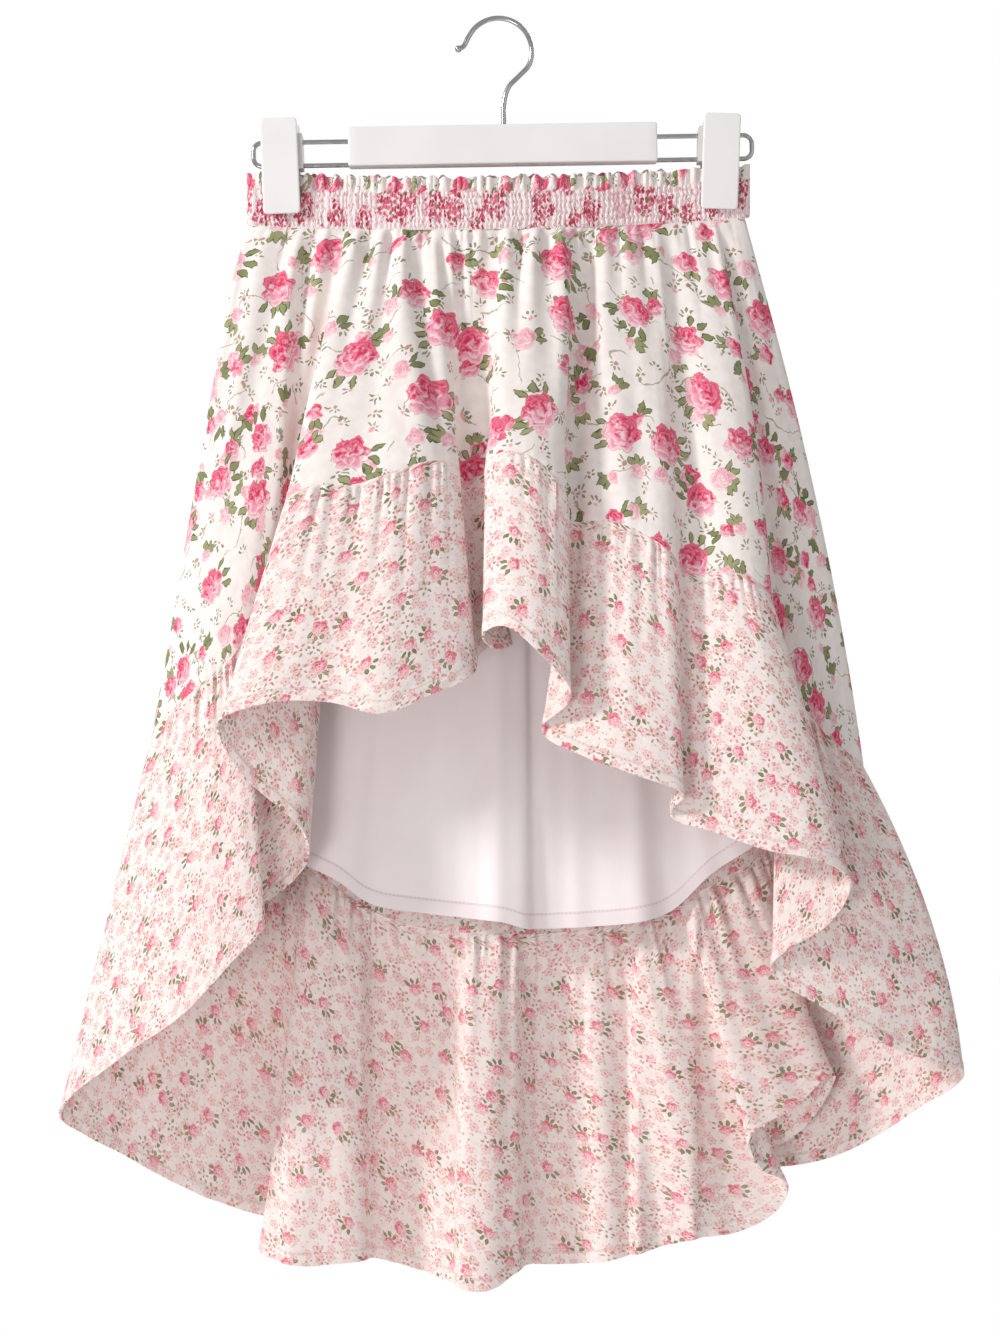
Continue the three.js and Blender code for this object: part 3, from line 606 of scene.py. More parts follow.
# Roses of the large print: the pitch and shift of their cells, the least radius and what luck
# adds to it, the number of leaves, the share of cells left out, the rings of petals and the pinks.
ROSES = (
    (0.041, 0.53, 0.0058, 0.0030, 2, 0.30, SMALL_RINGS, FADED_PINK),
    (0.027, 0.86, 0.0030, 0.0024, 3, 0.42, SMALL_RINGS, FADED_PINK),
    (0.0335, 0.0, 0.0048, 0.0026, 2, 0.34, SMALL_RINGS, STRONG_PINK),
    (0.0475, 0.12, 0.0096, 0.0044, 3, 0.05, LARGE_RINGS, STRONG_PINK),
)


def large_print(n, place):
    """Roses of two sizes with leaves, sprigs and thin stems on warm white."""
    place, soft = warped(n, place, 130.0, 0.0058, 3.0)
    patches = n.noise(place, 330.0, 2.0)[0]
    colour = n.mix(n.ramp(soft, 0.35, 0.7), *LARGE_GROUND)

    # Thin broken stems, where a noise crosses its middle.
    near = n.math("ABSOLUTE", n.minus(n.noise(place, 30.0, 0.0)[0], 0.5))
    broken = n.ramp(n.noise(place, 62.0, 0.0)[0], 0.48, 0.54)
    colour = n.over(colour, STEM, n.less(near, 0.013, 0.01), broken, 0.75)

    # Sprigs: a small blossom or bud among small leaves.
    for cell, shift, left_out in SPRIGS:
        offset, far, luck = scattered(n, place, cell, 0.8, shift)
        here = n.ramp(luck[2], left_out, left_out + 0.02)
        colour = leaves_on(n, colour, n.product(here, 0.9), offset, luck, *TWIG)
        size = n.times_plus(luck[1], 0.001, 0.0009)
        bud = either(n, luck[0], 0.5, BUD, 0.06)
        colour = n.over(colour, bud, n.less(far, size, 0.0007), here, 0.85)

    # Faded roses, then small and large ones.
    for cell, shift, least, spread, leaves, left_out, rings, pinks in ROSES:
        offset, _, luck = scattered(n, place, cell, 0.68, shift)
        here = n.ramp(luck[2], left_out, left_out + 0.01)
        middle = least + 0.6 * spread + 0.0022
        colour = leaves_on(n, colour, here, offset, luck, middle, *LARGE_LEAF, leaves, LEAF_TURN)
        radius = n.times_plus(luck[1], spread, least)
        shape, petals = rose(n, offset, radius, luck, rings, pinks, patches)
        colour = n.over(colour, petals, shape, here)
    return colour


def shirred_print(n, place):
    """The large print as its rows of shirring squeeze it: a net of pale creases over the roses."""
    place, _ = warped(n, place, 300.0, 0.0018, 2.0)

    # Ragged clusters of rose colour, where the squeezed roses are.
    ragged = n.minus(n.noise(place, 150.0, 1.0)[0], 0.5)
    wide = n.vector("MULTIPLY", place, (1.25, 1.0, 1.0))
    _, far, luck = scattered(n, wide, 0.0245, 0.62, 0.2)
    far = n.times_plus(ragged, 0.012, far)
    reach = n.times_plus(luck[1], 0.004, 0.0088)
    rosy = n.product(n.less(far, reach, 0.0016), n.ramp(luck[2], 0.06, 0.08))
    streak = n.math("SINE", n.product(n.split(place)[0], math.tau / 0.0016))
    pale = n.mix(n.ramp(streak, -0.6, 0.7), *SHIRRED_GROUND)
    colour = n.over(pale, CRUSHED_GROUND, rosy, 0.35)

    # Small beads of rose or leaf between the creases of a cluster.
    tall = n.vector("MULTIPLY", place, (1.2, 0.8, 1.0))
    _, far, luck = scattered(n, tall, 0.0026, 0.8, 0.1)
    size = n.times_plus(luck[1], 0.0005, 0.0011)
    bead = n.mix(n.ramp(luck[0], 0.1, 0.75), *CRUSHED_ROSE)
    bead = either(n, luck[0], 0.94, (bead, CRUSHED_LEAF), 0.01)
    colour = n.over(colour, bead, n.less(far, size, 0.0003), rosy, 0.95)

    # Dashes of the stems and leaves between the clusters.
    narrow = n.vector("MULTIPLY", place, (1.5, 0.62, 1.0))
    _, far, luck = scattered(n, narrow, 0.0031, 0.9, 0.6)
    here = n.product(n.ramp(luck[2], 0.45, 0.47), n.minus(1.0, rosy), 0.8)
    return n.over(colour, n.mix(luck[0], *DASHES), n.less(far, 0.0009, 0.0004), here)


def small_print(n, place):
    """Small roses, rings of dots and tiny florets, close together on warm white."""
    place, soft = warped(n, place, 260.0, 0.0018, 2.0)
    patches = n.noise(place, 800.0, 1.0)[0]
    colour = n.mix(n.ramp(soft, 0.3, 0.75), *SMALL_GROUND)

    # Tiny dots.
    _, far, luck = scattered(n, place, 0.0038, 0.9, 0.2)
    dot = n.less(far, n.times_plus(luck[1], 0.0006, 0.0004), 0.0004)
    colour = n.over(colour, either(n, luck[0], 0.6, DOTS), dot, 0.8)

    # Florets: five pale petals in a pink or brown rim, with a brown heart.
    offset, far, luck = scattered(n, place, 0.0092, 0.75, 0.4)
    lobes = n.math("ABSOLUTE", n.math("SINE", n.product(polar(n, offset, luck[0]), 2.5)))
    edge = n.times_plus(lobes, 0.0014, 0.0019)
    colour = n.over(colour, n.mix(luck[1], *FLORET_RIM), n.less(far, edge, 0.0004), 0.7)
    colour = n.over(colour, FLORET, n.less(far, n.product(edge, 0.76), 0.0006), 0.75)
    colour = n.over(colour, FLORET_HEART, n.less(far, 0.0007, 0.0003), 0.85)

    # Rings of five dots round a deeper heart.
    offset, far, luck = scattered(n, place, 0.0128, 0.6, 0.9)
    here = n.ramp(luck[2], 0.3, 0.32)
    petal, _ = leaf_fan(n, offset, luck[0], *FIVE_DOTS)
    shade = either(n, luck[0], 0.3, RING_DOTS, 0.04)
    shade = either(n, luck[0], 0.62, (shade, RING_DOTS_BROWN), 0.04)
    colour = n.over(colour, shade, petal, here, 0.85)
    colour = n.over(colour, RING_HEART, n.less(far, 0.0009, 0.0004), here, 0.9)

    # Small roses with a pale eye.
    offset, far, luck = scattered(n, place, 0.0235, 0.62, 0.0)
    here = n.ramp(luck[2], 0.12, 0.13)
    colour = leaves_on(n, colour, here, offset, luck, *SMALL_LEAVES)
    radius = n.times_plus(luck[1], 0.0013, 0.0037)
    shape, petals = rose(n, offset, radius, luck, SMALL_RINGS, SMALL_PINK, patches)
    for size, soft, shade in zip((0.0015, 0.0006), (0.0004, 0.0003), ROSE_HEART):
        petals = n.over(petals, shade, n.less(far, size, soft), 0.8)
    return n.over(colour, petals, shape, here)


def from_hem(n):
    """How far this place is from the sheet's lower edge, or in the waistband below its frill."""
    return n.add("Attribute", attribute_name="hem_distance").outputs["Fac"]


def plain_lining(n, place):
    """A pale plain cloth, a little uneven in tone, and darker where its hem is double."""
    single = n.mix(n.ramp(n.noise(place, 18.0, 3.0)[0], 0.3, 0.7), *LINING_TONES)
    above_hem = n.ramp(from_hem(n), LINING_HEM - 0.0005, LINING_HEM + 0.0005)
    return n.mix(above_hem, LINING_EDGE, single)


def print_group(name, draw):
    """A node group that gives a print's colour from a place on the flat cloth, in metres."""
    group = bpy.data.node_groups.new(name, "ShaderNodeTree")
    group.interface.new_socket("Place", in_out="INPUT", socket_type="NodeSocketVector")
    group.interface.new_socket("Color", in_out="OUTPUT", socket_type="NodeSocketColor")
    start = group.nodes.new("NodeGroupInput")
    end = group.nodes.new("NodeGroupOutput")
    group.links.new(draw(Nodes(group), start.outputs[0]), end.inputs[0])
    return group


def new_material(name):
    """A material, short ways to add nodes to it, and its shader's inputs."""
    material = bpy.data.materials.new(name)
    material.use_nodes = True
    tree = material.node_tree
    return material, Nodes(tree), tree.nodes["Principled BSDF"].inputs


def finish_material(n, shader, inputs, relief, strength, distance):
    """Sets or links the shader's inputs, and gives it a relief."""
    bump = n.add("Bump", {"Strength": strength, "Distance": distance, "Height": relief})
    for key, value in {**inputs, "Normal": bump.outputs[0]}.items():
        n.put(shader[key], value)


def woven(n, place):
    """The relief of a plain weave with slubs, in a share of the bump's height."""
    warp, weft = (n.math("SINE", n.product(part, math.tau / THREAD)) for part in n.split(place)[:2])
    threads = n.product(n.times_plus(warp, weft, 1.0), 0.5)
    return n.times_plus(n.noise(place, 900.0, 3.0)[0], 0.9, threads)


def stitched(n, colour, relief, place, hem_line):
    """The colour and relief with a groove along the hem's line, darkened with painted shade, and stitches
    in it.
    """
    off = n.math("ABSOLUTE", n.minus(from_hem(n), hem_line))
    dash = n.math("FRACT", n.math("DIVIDE", n.split(place)[0], STITCH))
    groove = n.less(off, 0.0009, 0.0006)
    # Painted shade: the groove is darkened as if in its own shadow.
    colour = n.over(colour, PAINTED_GROOVE_SHADE, groove, 0.42)
    thread = (n.less(off, 0.0004, 0.0002), n.less(dash, 0.72, 0.08), 0.55)
    return n.over(colour, HEM_THREAD, *thread), n.minus(relief, n.product(groove, 4.0))


def cloth_material(name, group, inside_fade_and_shade, hem_line, roughness, frill=None, facing=None):
    """Woven cloth: its print, fainter inside with a painted shade, with a stitched hem and a fine weave.
    """
    material, n, shader = new_material(name)
    place = n.add("UVMap", uv_map="cloth").outputs[0]
    colour = n.drawn(group, place)
    if frill:
        upper = n.drawn(frill, n.vector("MULTIPLY", place, FRILL_SQUEEZE))
        ragged = n.minus(n.noise(place, 210.0, 2.0)[0], 0.5)
        below = n.times_plus(ragged, 0.012, from_hem(n))
        colour = n.mix(n.ramp(below, -0.001, 0.0015), upper, colour)
    if facing:
        lower = n.drawn(facing, n.vector("ADD", place, FACING_SHIFT))
        colour = n.mix(n.ramp(from_hem(n), FACING, FACING + 0.0004), lower, colour)
    # The inside: its print fainter and darker, partly the cloth's paler reverse, partly painted shade.
    if inside_fade_and_shade:
        colour = n.mix(inside_fade_and_shade, colour, PAINTED_INSIDE_SHADE)
    relief = woven(n, place)
    # Painted shade: the colour a little darker where the weave's relief is low, between threads and
    # slubs.
    shade = n.ramp(relief, 0.1, 1.6, 0.965, 1.0)
    painted_weave_shade = n.add("CombineColor", {0: shade, 1: shade, 2: shade}).outputs[0]
    colour = n.mix(1.0, colour, painted_weave_shade, "MULTIPLY")
    if hem_line:
        colour, relief = stitched(n, colour, relief, place, hem_line)
    inputs = {"Base Color": colour, "Roughness": roughness, "Specular IOR Level": 0.25}
    inputs.update({"Sheen Weight": 0.12, "Sheen Roughness": 0.5})
    finish_material(n, shader, inputs, relief, 0.35, 0.00012)
    return material


LARGE_PRINT = print_group("large rose print", large_print)
SMALL_PRINT = print_group("small rose print", small_print)
SHIRRED_PRINT = print_group("shirred rose print", shirred_print)
PLAIN = print_group("plain lining cloth", plain_lining)


def both_sides(name, group, hem_line=0, frill=None, facing=None):
    """A printed cloth's material outside, and its fainter one inside with painted shade, that a facing
    may cover.
    """
    return [
        cloth_material(name + " outside", group, 0, hem_line, OUTSIDE_ROUGH, frill),
        cloth_material(name + " inside", group, REVERSE_FADE_AND_SHADE, hem_line, INSIDE_ROUGH, frill, facing),
    ]


LARGE_CLOTH = both_sides("large print", LARGE_PRINT, facing=SMALL_PRINT)
SMALL_CLOTH = both_sides("small print", SMALL_PRINT, HEM)
BAND_CLOTH = both_sides("shirred print", SHIRRED_PRINT, frill=LARGE_PRINT)
LINING_CLOTH = [cloth_material("lining", PLAIN, 0, LINING_HEM, LINING_ROUGH)]


def moulded_material(name, tones, roughness):
    """White moulded plastic with a faint grain."""
    material, n, shader = new_material(name)
    place = n.add("TexCoord").outputs["Object"]
    cloud = n.noise(place, 22.0, 2.0, "3D")[0]
    inputs = {
        "Base Color": n.mix(n.ramp(cloud, 0.3, 0.7), *tones),
        "Roughness": n.ramp(cloud, 0.2, 0.8, roughness - 0.05, roughness + 0.06),
    }
    finish_material(n, shader, inputs, n.noise(place, 900.0, 3.0, "3D")[0], 0.15, 0.00005)
    return material


def wire_material():
    """Bright plated wire with faint drawing marks."""
    material, n, shader = new_material("plated wire")
    marks = n.noise(n.add("TexCoord").outputs["Object"], 240.0, 4.0, "3D")[0]
    inputs = {
        "Base Color": n.mix(marks, *PLATED),
        "Metallic": 1.0,
        "Roughness": n.ramp(marks, 0.3, 0.7, 0.16, 0.28),
    }
    finish_material(n, shader, inputs, marks, 0.1, 0.00005)
    return material


WHITE_PLASTIC = moulded_material("white plastic", WHITE, 0.4)
GREY_PLASTIC = moulded_material("clip block plastic", BLOCK_GREY, 0.5)
WIRE_METAL = wire_material()


# Pieces of cloth, in millimetres from here on.
MM_PER_M = 1000
CLOTH = 0.7
HEMMED_CLOTH = 1.5
LINING = 0.5
HEMMED_LINING = 1.0
HEM_STEP = 0.8
SEAM_SINK = 0.4
HEM_PUCKER_AT = 7
LEAST_FAN = 0.02

# For each side: its name and its columns of the ring.
SIDE = {FRONT: "front", BACK: "back"}
COLUMNS = {FRONT: (0, FRONT_COUNT), BACK: (FRONT_COUNT, len(ROUND_AT))}

# For each piece: its rows and its steps to a column, or its points across, then a seed that makes
# its waves its own, and where on its print it is cut.
BODY = {FRONT: (60, 4, 0, (0, 0)), BACK: (74, 4, 5, (1370, 215))}
FLOUNCE = {FRONT: (62, 5, 11, (410, 0)), BACK: (62, 8, 17, (1930, 60))}
BAND = {FRONT: (46, 661, 31, (0, 36)), BACK: (46, 661, 37, (1370, 251))}
BACK_LINING = (80, 281, 23, (0, 0))

# Rows of gathers along a seam: their pitch, how far they reach from it, and their height.
BODY_GATHERS = ((6.6, 13, 1.7), (15.5, 52, 3.0))
BODY_PUCKERS = ((7.5, 7, 0.3),)
FLOUNCE_GATHERS = ((6.0, 14, 2.3), (13.0, 42, 2.1))
LINING_GATHERS = ((7.0, 30, 0.8),)

# Broad waves of the cloth: how long they are across, and how far they wander across and down.
BODY_WAVES = (34, 90, 130)
FLOUNCE_WAVES = (30, 80, 100)


def finish_piece(piece, node):
    """Hides the solid that a piece stands for, and hangs the piece from the root body."""
    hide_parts(node)
    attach(piece, "root")
    return piece


def mesh_piece(name, points, faces, materials, sharp=50):
    """An object from points in millimetres."""
    mesh = bpy.data.meshes.new(name)
    mesh.from_pydata((np.asarray(points) / MM_PER_M).tolist(), [], faces)
    for material in materials:
        mesh.materials.append(material)
    mesh.shade_smooth()
    mesh.set_sharp_from_angle(angle=math.radians(sharp))
    piece = bpy.data.objects.new(name, mesh)
    bpy.context.scene.collection.objects.link(piece)
    return piece


def cloth_places(grid, cut):
    """Places on the flat cloth, cut as a fan that is as wide as the first row and the last."""
    along, down = lengths_along(grid, 1), lengths_along(grid, 0)
    first, last = along[0, -1], along[-1, -1]
    fan = max(LEAST_FAN, (last - first) / down[-1].mean())
    inner = first / fan
    turn = (along / along[:, -1:] - 0.5) * fan
    reach = inner + down
    return np.stack([reach * np.sin(turn) + cut[0], inner - reach * np.cos(turn) + cut[1]], axis=-1)


def cloth_piece(node, grid, thick, cut, hem_distance, materials):
    """A closed sheet of cloth about a grid of points. Its second material is on the inside."""
    rows, cols = grid.shape[:2]
    half = grid_normals(grid) * (np.broadcast_to(thick, (rows, cols)) / 2)[..., None]
    points = np.vstack([(grid + half).reshape(-1, 3), (grid - half).reshape(-1, 3)])
    at = np.arange(rows * cols).reshape(rows, cols)
    under = at + at.size

    def quads(a, b, c, d):
        return np.stack([a, b, c, d], axis=-1).reshape(-1, 4)

    outside = quads(at[:-1, :-1], at[1:, :-1], at[1:, 1:], at[:-1, 1:])
    inside = quads(under[:-1, :-1], under[:-1, 1:], under[1:, 1:], under[1:, :-1])
    edge = np.concatenate([at[0, :-1], at[:-1, -1], at[-1, :0:-1], at[:0:-1, 0]])
    ahead = np.roll(edge, -1)
    rim = quads(edge, ahead, ahead + at.size, edge + at.size)
    faces = np.vstack([outside, inside, rim])
    piece = mesh_piece(node + "_cloth", points, faces.tolist(), materials)
    mesh = piece.data
    if len(materials) > 1:
        which = np.zeros(len(faces), dtype=np.int32)
        which[len(outside) : len(outside) + len(inside)] = 1
        mesh.polygons.foreach_set("material_index", which)
    flat = np.tile(cloth_places(grid, cut).reshape(-1, 2), (2, 1))[faces.reshape(-1)]
    mesh.uv_layers.new(name="cloth").data.foreach_set("uv", flat.reshape(-1) / MM_PER_M)
    distance = mesh.attributes.new("hem_distance", "FLOAT", "POINT")
    distance.data.foreach_set("value", np.tile(hem_distance.reshape(-1), 2) / MM_PER_M)
    return finish_piece(piece, node)


def raised(grid, height):
    """The grid moved out of its surface by a height at each point."""
    return grid + grid_normals(grid) * height[..., None]


def grows(away, over, start=0):
    """A share that grows from its start to 1 over a distance."""
    return np.minimum(1, start + away / over)


def bell(away, width):
    """A hump that is 1 at no distance and nearly 0 at twice its width."""
    return np.exp(-((away / width) ** 2))


def gathers(along, away, rows, seed):
    """How high rows of gathers stand at a place along a seam and away from it."""
    return sum(
        height * ruck_wave(along, pitch, seed + k) * np.exp(-away / reach)
        for k, (pitch, reach, height) in enumerate(rows)
    )


def broad_waves(along, down, sizes, seeds):
    """Soft waves across the cloth that come and go as they wander down it."""
    across, wander, slope = sizes
    return uneven(along / across, seeds[0]) * uneven(along / wander + down / slope, seeds[1])


def with_hem(down, hem, single, double):
    """The thickness of a sheet folded over at its lower edge, and the distance from that edge."""
    left = down[-1:] - down
    folded = np.clip((hem * MM_PER_M + HEM_STEP / 2 - left) / HEM_STEP, 0, 1)
    return lerp(single, double, folded), left


# Long creases of the body's front: place across at the waistband and at the seam, depth and width.
LONG_CREASES = (
    (-113, -127, 3.0, 5.0),
    (-94, -136, 2.6, 5.0),
    (-50, -31, 3.2, 6.5),
    (-8, -8, 2.4, 4.5),
    (54, 42, 4.2, 6.0),
    (77, 84, 2.0, 6.0),
    (106, 122, 2.6, 6.5),
)
LIP_HEIGHT = 0.5
LIP_PLACE = 1.8


def long_creases(across, share):
    """How deep the long creases are, each beside a raised lip on its left."""
    total = 0
    for top, bottom, deep, width in LONG_CREASES:
        off = (across - lerp(top, bottom, share)) / width
        total = total + deep * (bell(off, 1) - LIP_HEIGHT * bell(off + LIP_PLACE, 1))
    return total


# How far the body swells out at its sides below the waistband, and where the swelling grows.
LEFT_SWELL = 8.0
RIGHT_SWELL = 6.2
SWELL_FROM = 80
SWELL_OVER = 70


def swollen(grid, share):
    """The body's grid with its sides swelling out between the waistband and the seam."""
    across = grid[..., 0]
    left = -LEFT_SWELL * (1 - np.exp(-share / 0.05)) * (1 - share) ** 1.2
    right = RIGHT_SWELL * 4 * share * (1 - share)
    outer = np.clip((np.abs(across) - SWELL_FROM) / SWELL_OVER, 0, 1)
    moved = grid.copy()
    moved[..., 0] += outer * np.where(across < 0, left, right)
    return moved


def body_piece(side):
    """Body, front or back: gathered into the waistband, with soft folds that open downwards."""
    rows, steps, seed, cut = BODY[side]
    levels = eased(rows, 0.55, 0.35)
    share = levels[:, None]
    grid, straight = panel_grid(levels, *COLUMNS[side], steps)
    grid = swollen(grid, share)
    down = lengths_along(grid, 0)
    left = down[-1:] - down
    seam = lengths_along(grid, 1)[-1]
    waist_x = grid[0, :, 0]
    room = grows(np.abs(grid[..., 1]), 9)
    height = WAIST_GATHER_HEIGHT * fade(share, 0.08, 0.75) * gather_wave(waist_x + seed)
    height = height * grows(down, 12, 0.25)
    height += grows(down, 5, 0.2) * gathers(waist_x, down, BODY_GATHERS, seed + 1)
    if side == FRONT:
        height -= grows(down, 30, 0.25) * grows(left, 35) * long_creases(grid[..., 0], share)
    broad = 1.3 * broad_waves(seam, down, BODY_WAVES, (seed + 3, seed + 4)) * grows(down, 60)
    height += straight * (broad + gathers(seam, left, BODY_PUCKERS, seed + 7))
    height = room * height - SEAM_SINK * bell(left, 1.4)
    grid = raised(grid, height)
    return cloth_piece(f"body_{SIDE[side]}", grid, CLOTH, cut, left, LARGE_CLOTH)


# Broad folds of the flounce's back part: each edge's place across, and how far forward the cloth
# stands to the right of it.
BACK_PLEATS = ((-132, 6.5), (-81, -4.0), (-26, 8.0), (13, -4.0), (83, 6.0), (122, 0.0))
PLEAT_EDGE = 2.0


def back_pleats(across):
    """How far forward the broad folds stand at a place across."""
    total, before = 0, 0
    for edge, stand in BACK_PLEATS:
        total = total + (stand - before) * 0.5 * (1 + np.tanh((across - edge) / PLEAT_EDGE))
        before = stand
    return total


def flounce_piece(side):
    """Flounce, front or back: finely gathered to the body, with a narrow hem."""
    rows, steps, seed, cut = FLOUNCE[side]
    levels = 1 + eased(rows, 0.65, 0.5)
    grid, straight = panel_grid(levels, *COLUMNS[side], steps)
    if side == BACK:
        grid[..., 1] -= back_pleats(grid[..., 0]) * grows(lengths_along(grid, 0), 30)
    down, along = lengths_along(grid, 0), lengths_along(grid, 1)
    seam = along[0]
    thick, left = with_hem(down, HEM, CLOTH, HEMMED_CLOTH)
    broad = broad_waves(seam, down, FLOUNCE_WAVES, (seed + 2, seed + 4))
    if side == BACK:
        broad = broad + 0.8 * uneven(seam / 21, seed + 5)
    height = grows(down, 4) * gathers(seam, down, FLOUNCE_GATHERS, seed)
    height += 1.6 * broad * grows(down, 40)
    height += 0.7 * uneven(along / 16, seed + 6) * np.exp(-left / 16)
    height += 0.22 * ruck_wave(along, 5.0, seed + 8) * bell(left - HEM_PUCKER_AT, 3)
    height = straight * height - SEAM_SINK * bell(down, 1.6)
    grid = raised(grid, height)
    return cloth_piece(f"flounce_{SIDE[side]}", grid, thick, cut, left, SMALL_CLOTH)


def lining_piece():
    """Lining: a plain sheet inside the back, with a wider stitched hem."""
    waist, *hem = np.array(LINING_FOLDS, dtype=float).T
    top = (waist, band_drop(waist) + BAND_HEIGHT, waist_depth(waist) - LINING_INSET)
    rows, columns, seed, cut = BACK_LINING
    lines = []
    for level in eased(rows, 0.4, 0.5):
        points = place(*(lerp(upper, lower, level) for upper, lower in zip(top, hem)))
        lines.append(curve(points, np.linspace(0, 1, columns), False))
    grid = np.array(lines)
    down = lengths_along(grid, 0)
    waist_x = grid[0, :, 0]
    thick, left = with_hem(down, LINING_HEM, LINING, HEMMED_LINING)
    soft = 1.1 * uneven(waist_x / 17, seed + 6) * grows(down, 120)
    grid = raised(grid, gathers(waist_x, down, LINING_GATHERS, seed) + soft)
    return cloth_piece("lining_back", grid, thick, cut, left, LINING_CLOTH)


FRILL = 9.0
FRILL_PITCH = 8.6
FRILL_CURL = 2.2
RUFFLE_PITCH = 4.3
RUFFLE_HEIGHT = 1.1
SHIRRING_PITCH = 3.65
CRINKLE_PITCH = 2.9
BAND_OUT = 0.55
BAND_END_SHARE = 0.12


def band_line(side, columns):
    """Points along the waistband seen from above, closer together at its ends, and the way out."""
    even = np.linspace(1, -1, columns)
    crowded = np.cos(np.linspace(0, math.pi, columns))
    across = side * HALF_WAIST * lerp(even, crowded, BAND_END_SHARE)
    line = np.stack([across, side * waist_depth(across)], axis=-1)
    along = np.gradient(line, axis=0)
    along[0], along[-1] = (0, side), (0, -side)
    outward = np.stack([along[:, 1], -along[:, 0]], axis=-1)
    return line, outward / np.linalg.norm(outward, axis=1)[:, None]


def band_piece(side):
    """Half of the waistband: rows of shirring in fine crinkles, under a small frill."""
    rows, columns, seed, cut = BAND[side]
    line, outward = band_line(side, columns)
    across = line[:, 0]
    drop = np.linspace(0, BAND_HEIGHT, rows)[:, None]
    room = grows(np.abs(line[:, 1]), 2.5)
    frill = np.clip(1 - drop / FRILL, 0, 1)
    shirred = np.clip((drop - 0.72 * FRILL) / 3, 0, 1)
    end = np.clip((BAND_HEIGHT - drop) / 1.6, 0, 1)
    row = (drop - FRILL) / SHIRRING_PITCH
    puff = np.sin(math.pi * row) ** 2 * shirred
    lean = across + 0.8 * uneven(row * 0.9 + across / 40, seed + 1)
    crinkle = ruck_wave(lean, CRINKLE_PITCH, seed + 2)
    wave = ruck_wave(across, FRILL_PITCH, seed)
    curl = FRILL_CURL * wave * frill**0.6
    ruffle = RUFFLE_HEIGHT * ruck_wave(across, RUFFLE_PITCH, seed + 3) * (1 - shirred)
    rucks = shirred * (crinkle * lerp(0.45, 1, puff) + 0.5 * puff - 0.45)
    height = end * (BAND_OUT + room * (curl + ruffle + rucks))
    stand = (2.0 * wave + 0.9 * uneven(across / 6, seed)) * frill * room
    x, y = (line[:, k] + height * outward[:, k] for k in (0, 1))
    grid = place(x, band_drop(across) + drop - stand, y)
    below_frill = np.broadcast_to(drop - FRILL + 0.5, grid.shape[:2])
    node = f"waistband_{SIDE[side]}"
    return cloth_piece(node, grid, CLOTH, cut, below_frill, BAND_CLOTH)


# The hanger, with the sizes of the solids.
BAR = {"width": 185, "height": 23.5, "depth": 12, "round": 1.2, "edge": 0.9, "x": 2.5, "drop": 75}
HOOK = {"radius": 20, "wire": 1.5, "neck_x": 3.2, "neck_bend": 50, "seat": 8, "bead": 2.1}
HOOK_TIP = ((-24, 0, -17), (-21, 0, -15.4))
HOOK_TURNS = np.radians(np.arange(155, -26, -20))
HOOK_BEND = ((12, 0, -33.6), (6, 0, -40))
NECK_STRAIGHT_FROM = 57
WIRE = {"radius": 1.4, "above": 3.9, "below": 10.2, "reach": 149.5, "corner": 5, "seat": 10}
PLATE = {"width": 22, "height": 56.5, "depth": 3, "round": 2.4, "edge": 0.7, "spread": 4.1}
# Each clip's side, place across, drop and lean.
CLIPS = (("left", -130.3, 88.8, -2), ("right", 132.7, 86, 1.7))
SOLID_BAND = 2.4
BITE = WAIST_CLIP_DEPTH + SOLID_BAND / 2 + 1.2
BAR_FRAME = (
    Matrix.Translation((HOOK["neck_x"], 0, -BAR["drop"]))
    @ Matrix.Rotation(-BAND_TILT, 4, "Y")
    @ Matrix.Translation((BAR["x"] - HOOK["neck_x"], 0, 0))
)
WIRE_SIDES = 20
HOOK_STEPS = 150
BEAD_STEPS = 12
CORNER_STEPS = 12
BOARD_CORNER_STEPS = 6
# A board's softened edge, as shares of its size: how deep each ring is, and how far out.
EDGE_PROFILE = ((0, 0), (0.12, 0.5), (0.5, 0.88), (1, 1))
# How much smaller the flat ring inside a board's face is.
FACE_INSET = (0.94, 1, 0.975)


def ring_faces(rings, count):
    """Faces that join rings of points into a closed solid."""
    at = np.arange(rings * count).reshape(rings, count)
    after = np.roll(at, -1, axis=1)
    sides = np.stack([at[:-1], at[1:], after[1:], after[:-1]], axis=-1)
    return [*sides.reshape(-1, 4).tolist(), at[0].tolist(), at[-1, ::-1].tolist()]


def moved_by(matrix, points):
    """Points turned and shifted by a matrix."""
    return points @ np.array(matrix.to_3x3()).T + np.array(matrix.translation)


def wire_tube(name, path, radius, bead=None):
    """A round wire along a path in the plane of the hanger, with a rounded bead at its start."""
    path = np.asarray(path, dtype=float)
    radii = np.full(len(path), radius)
    if bead:
        along = (path[1] - path[0]) / np.linalg.norm(path[1] - path[0])
        turn = np.linspace(0.06, math.pi - math.asin(radius / bead), BEAD_STEPS)
        ball = path[0] - np.cos(turn)[:, None] * bead * along
        path = np.vstack([ball, path[1:]])
        radii = np.concatenate([bead * np.sin(turn), radii[1:]])
    tangent = np.gradient(path, axis=0)
    tangent /= np.linalg.norm(tangent, axis=1)[:, None]
    beside, behind = np.cross(tangent, (0, 1, 0)), np.array((0, 1, 0))
    turn = np.linspace(0, math.tau, WIRE_SIDES, endpoint=False)[:, None]
    rings = path[:, None] + radii[:, None, None] * (
        np.cos(turn) * beside[:, None] + np.sin(turn) * behind
    )
    faces = ring_faces(len(path), WIRE_SIDES)
    return mesh_piece(name, rings.reshape(-1, 3), faces, [WIRE_METAL], sharp=40)


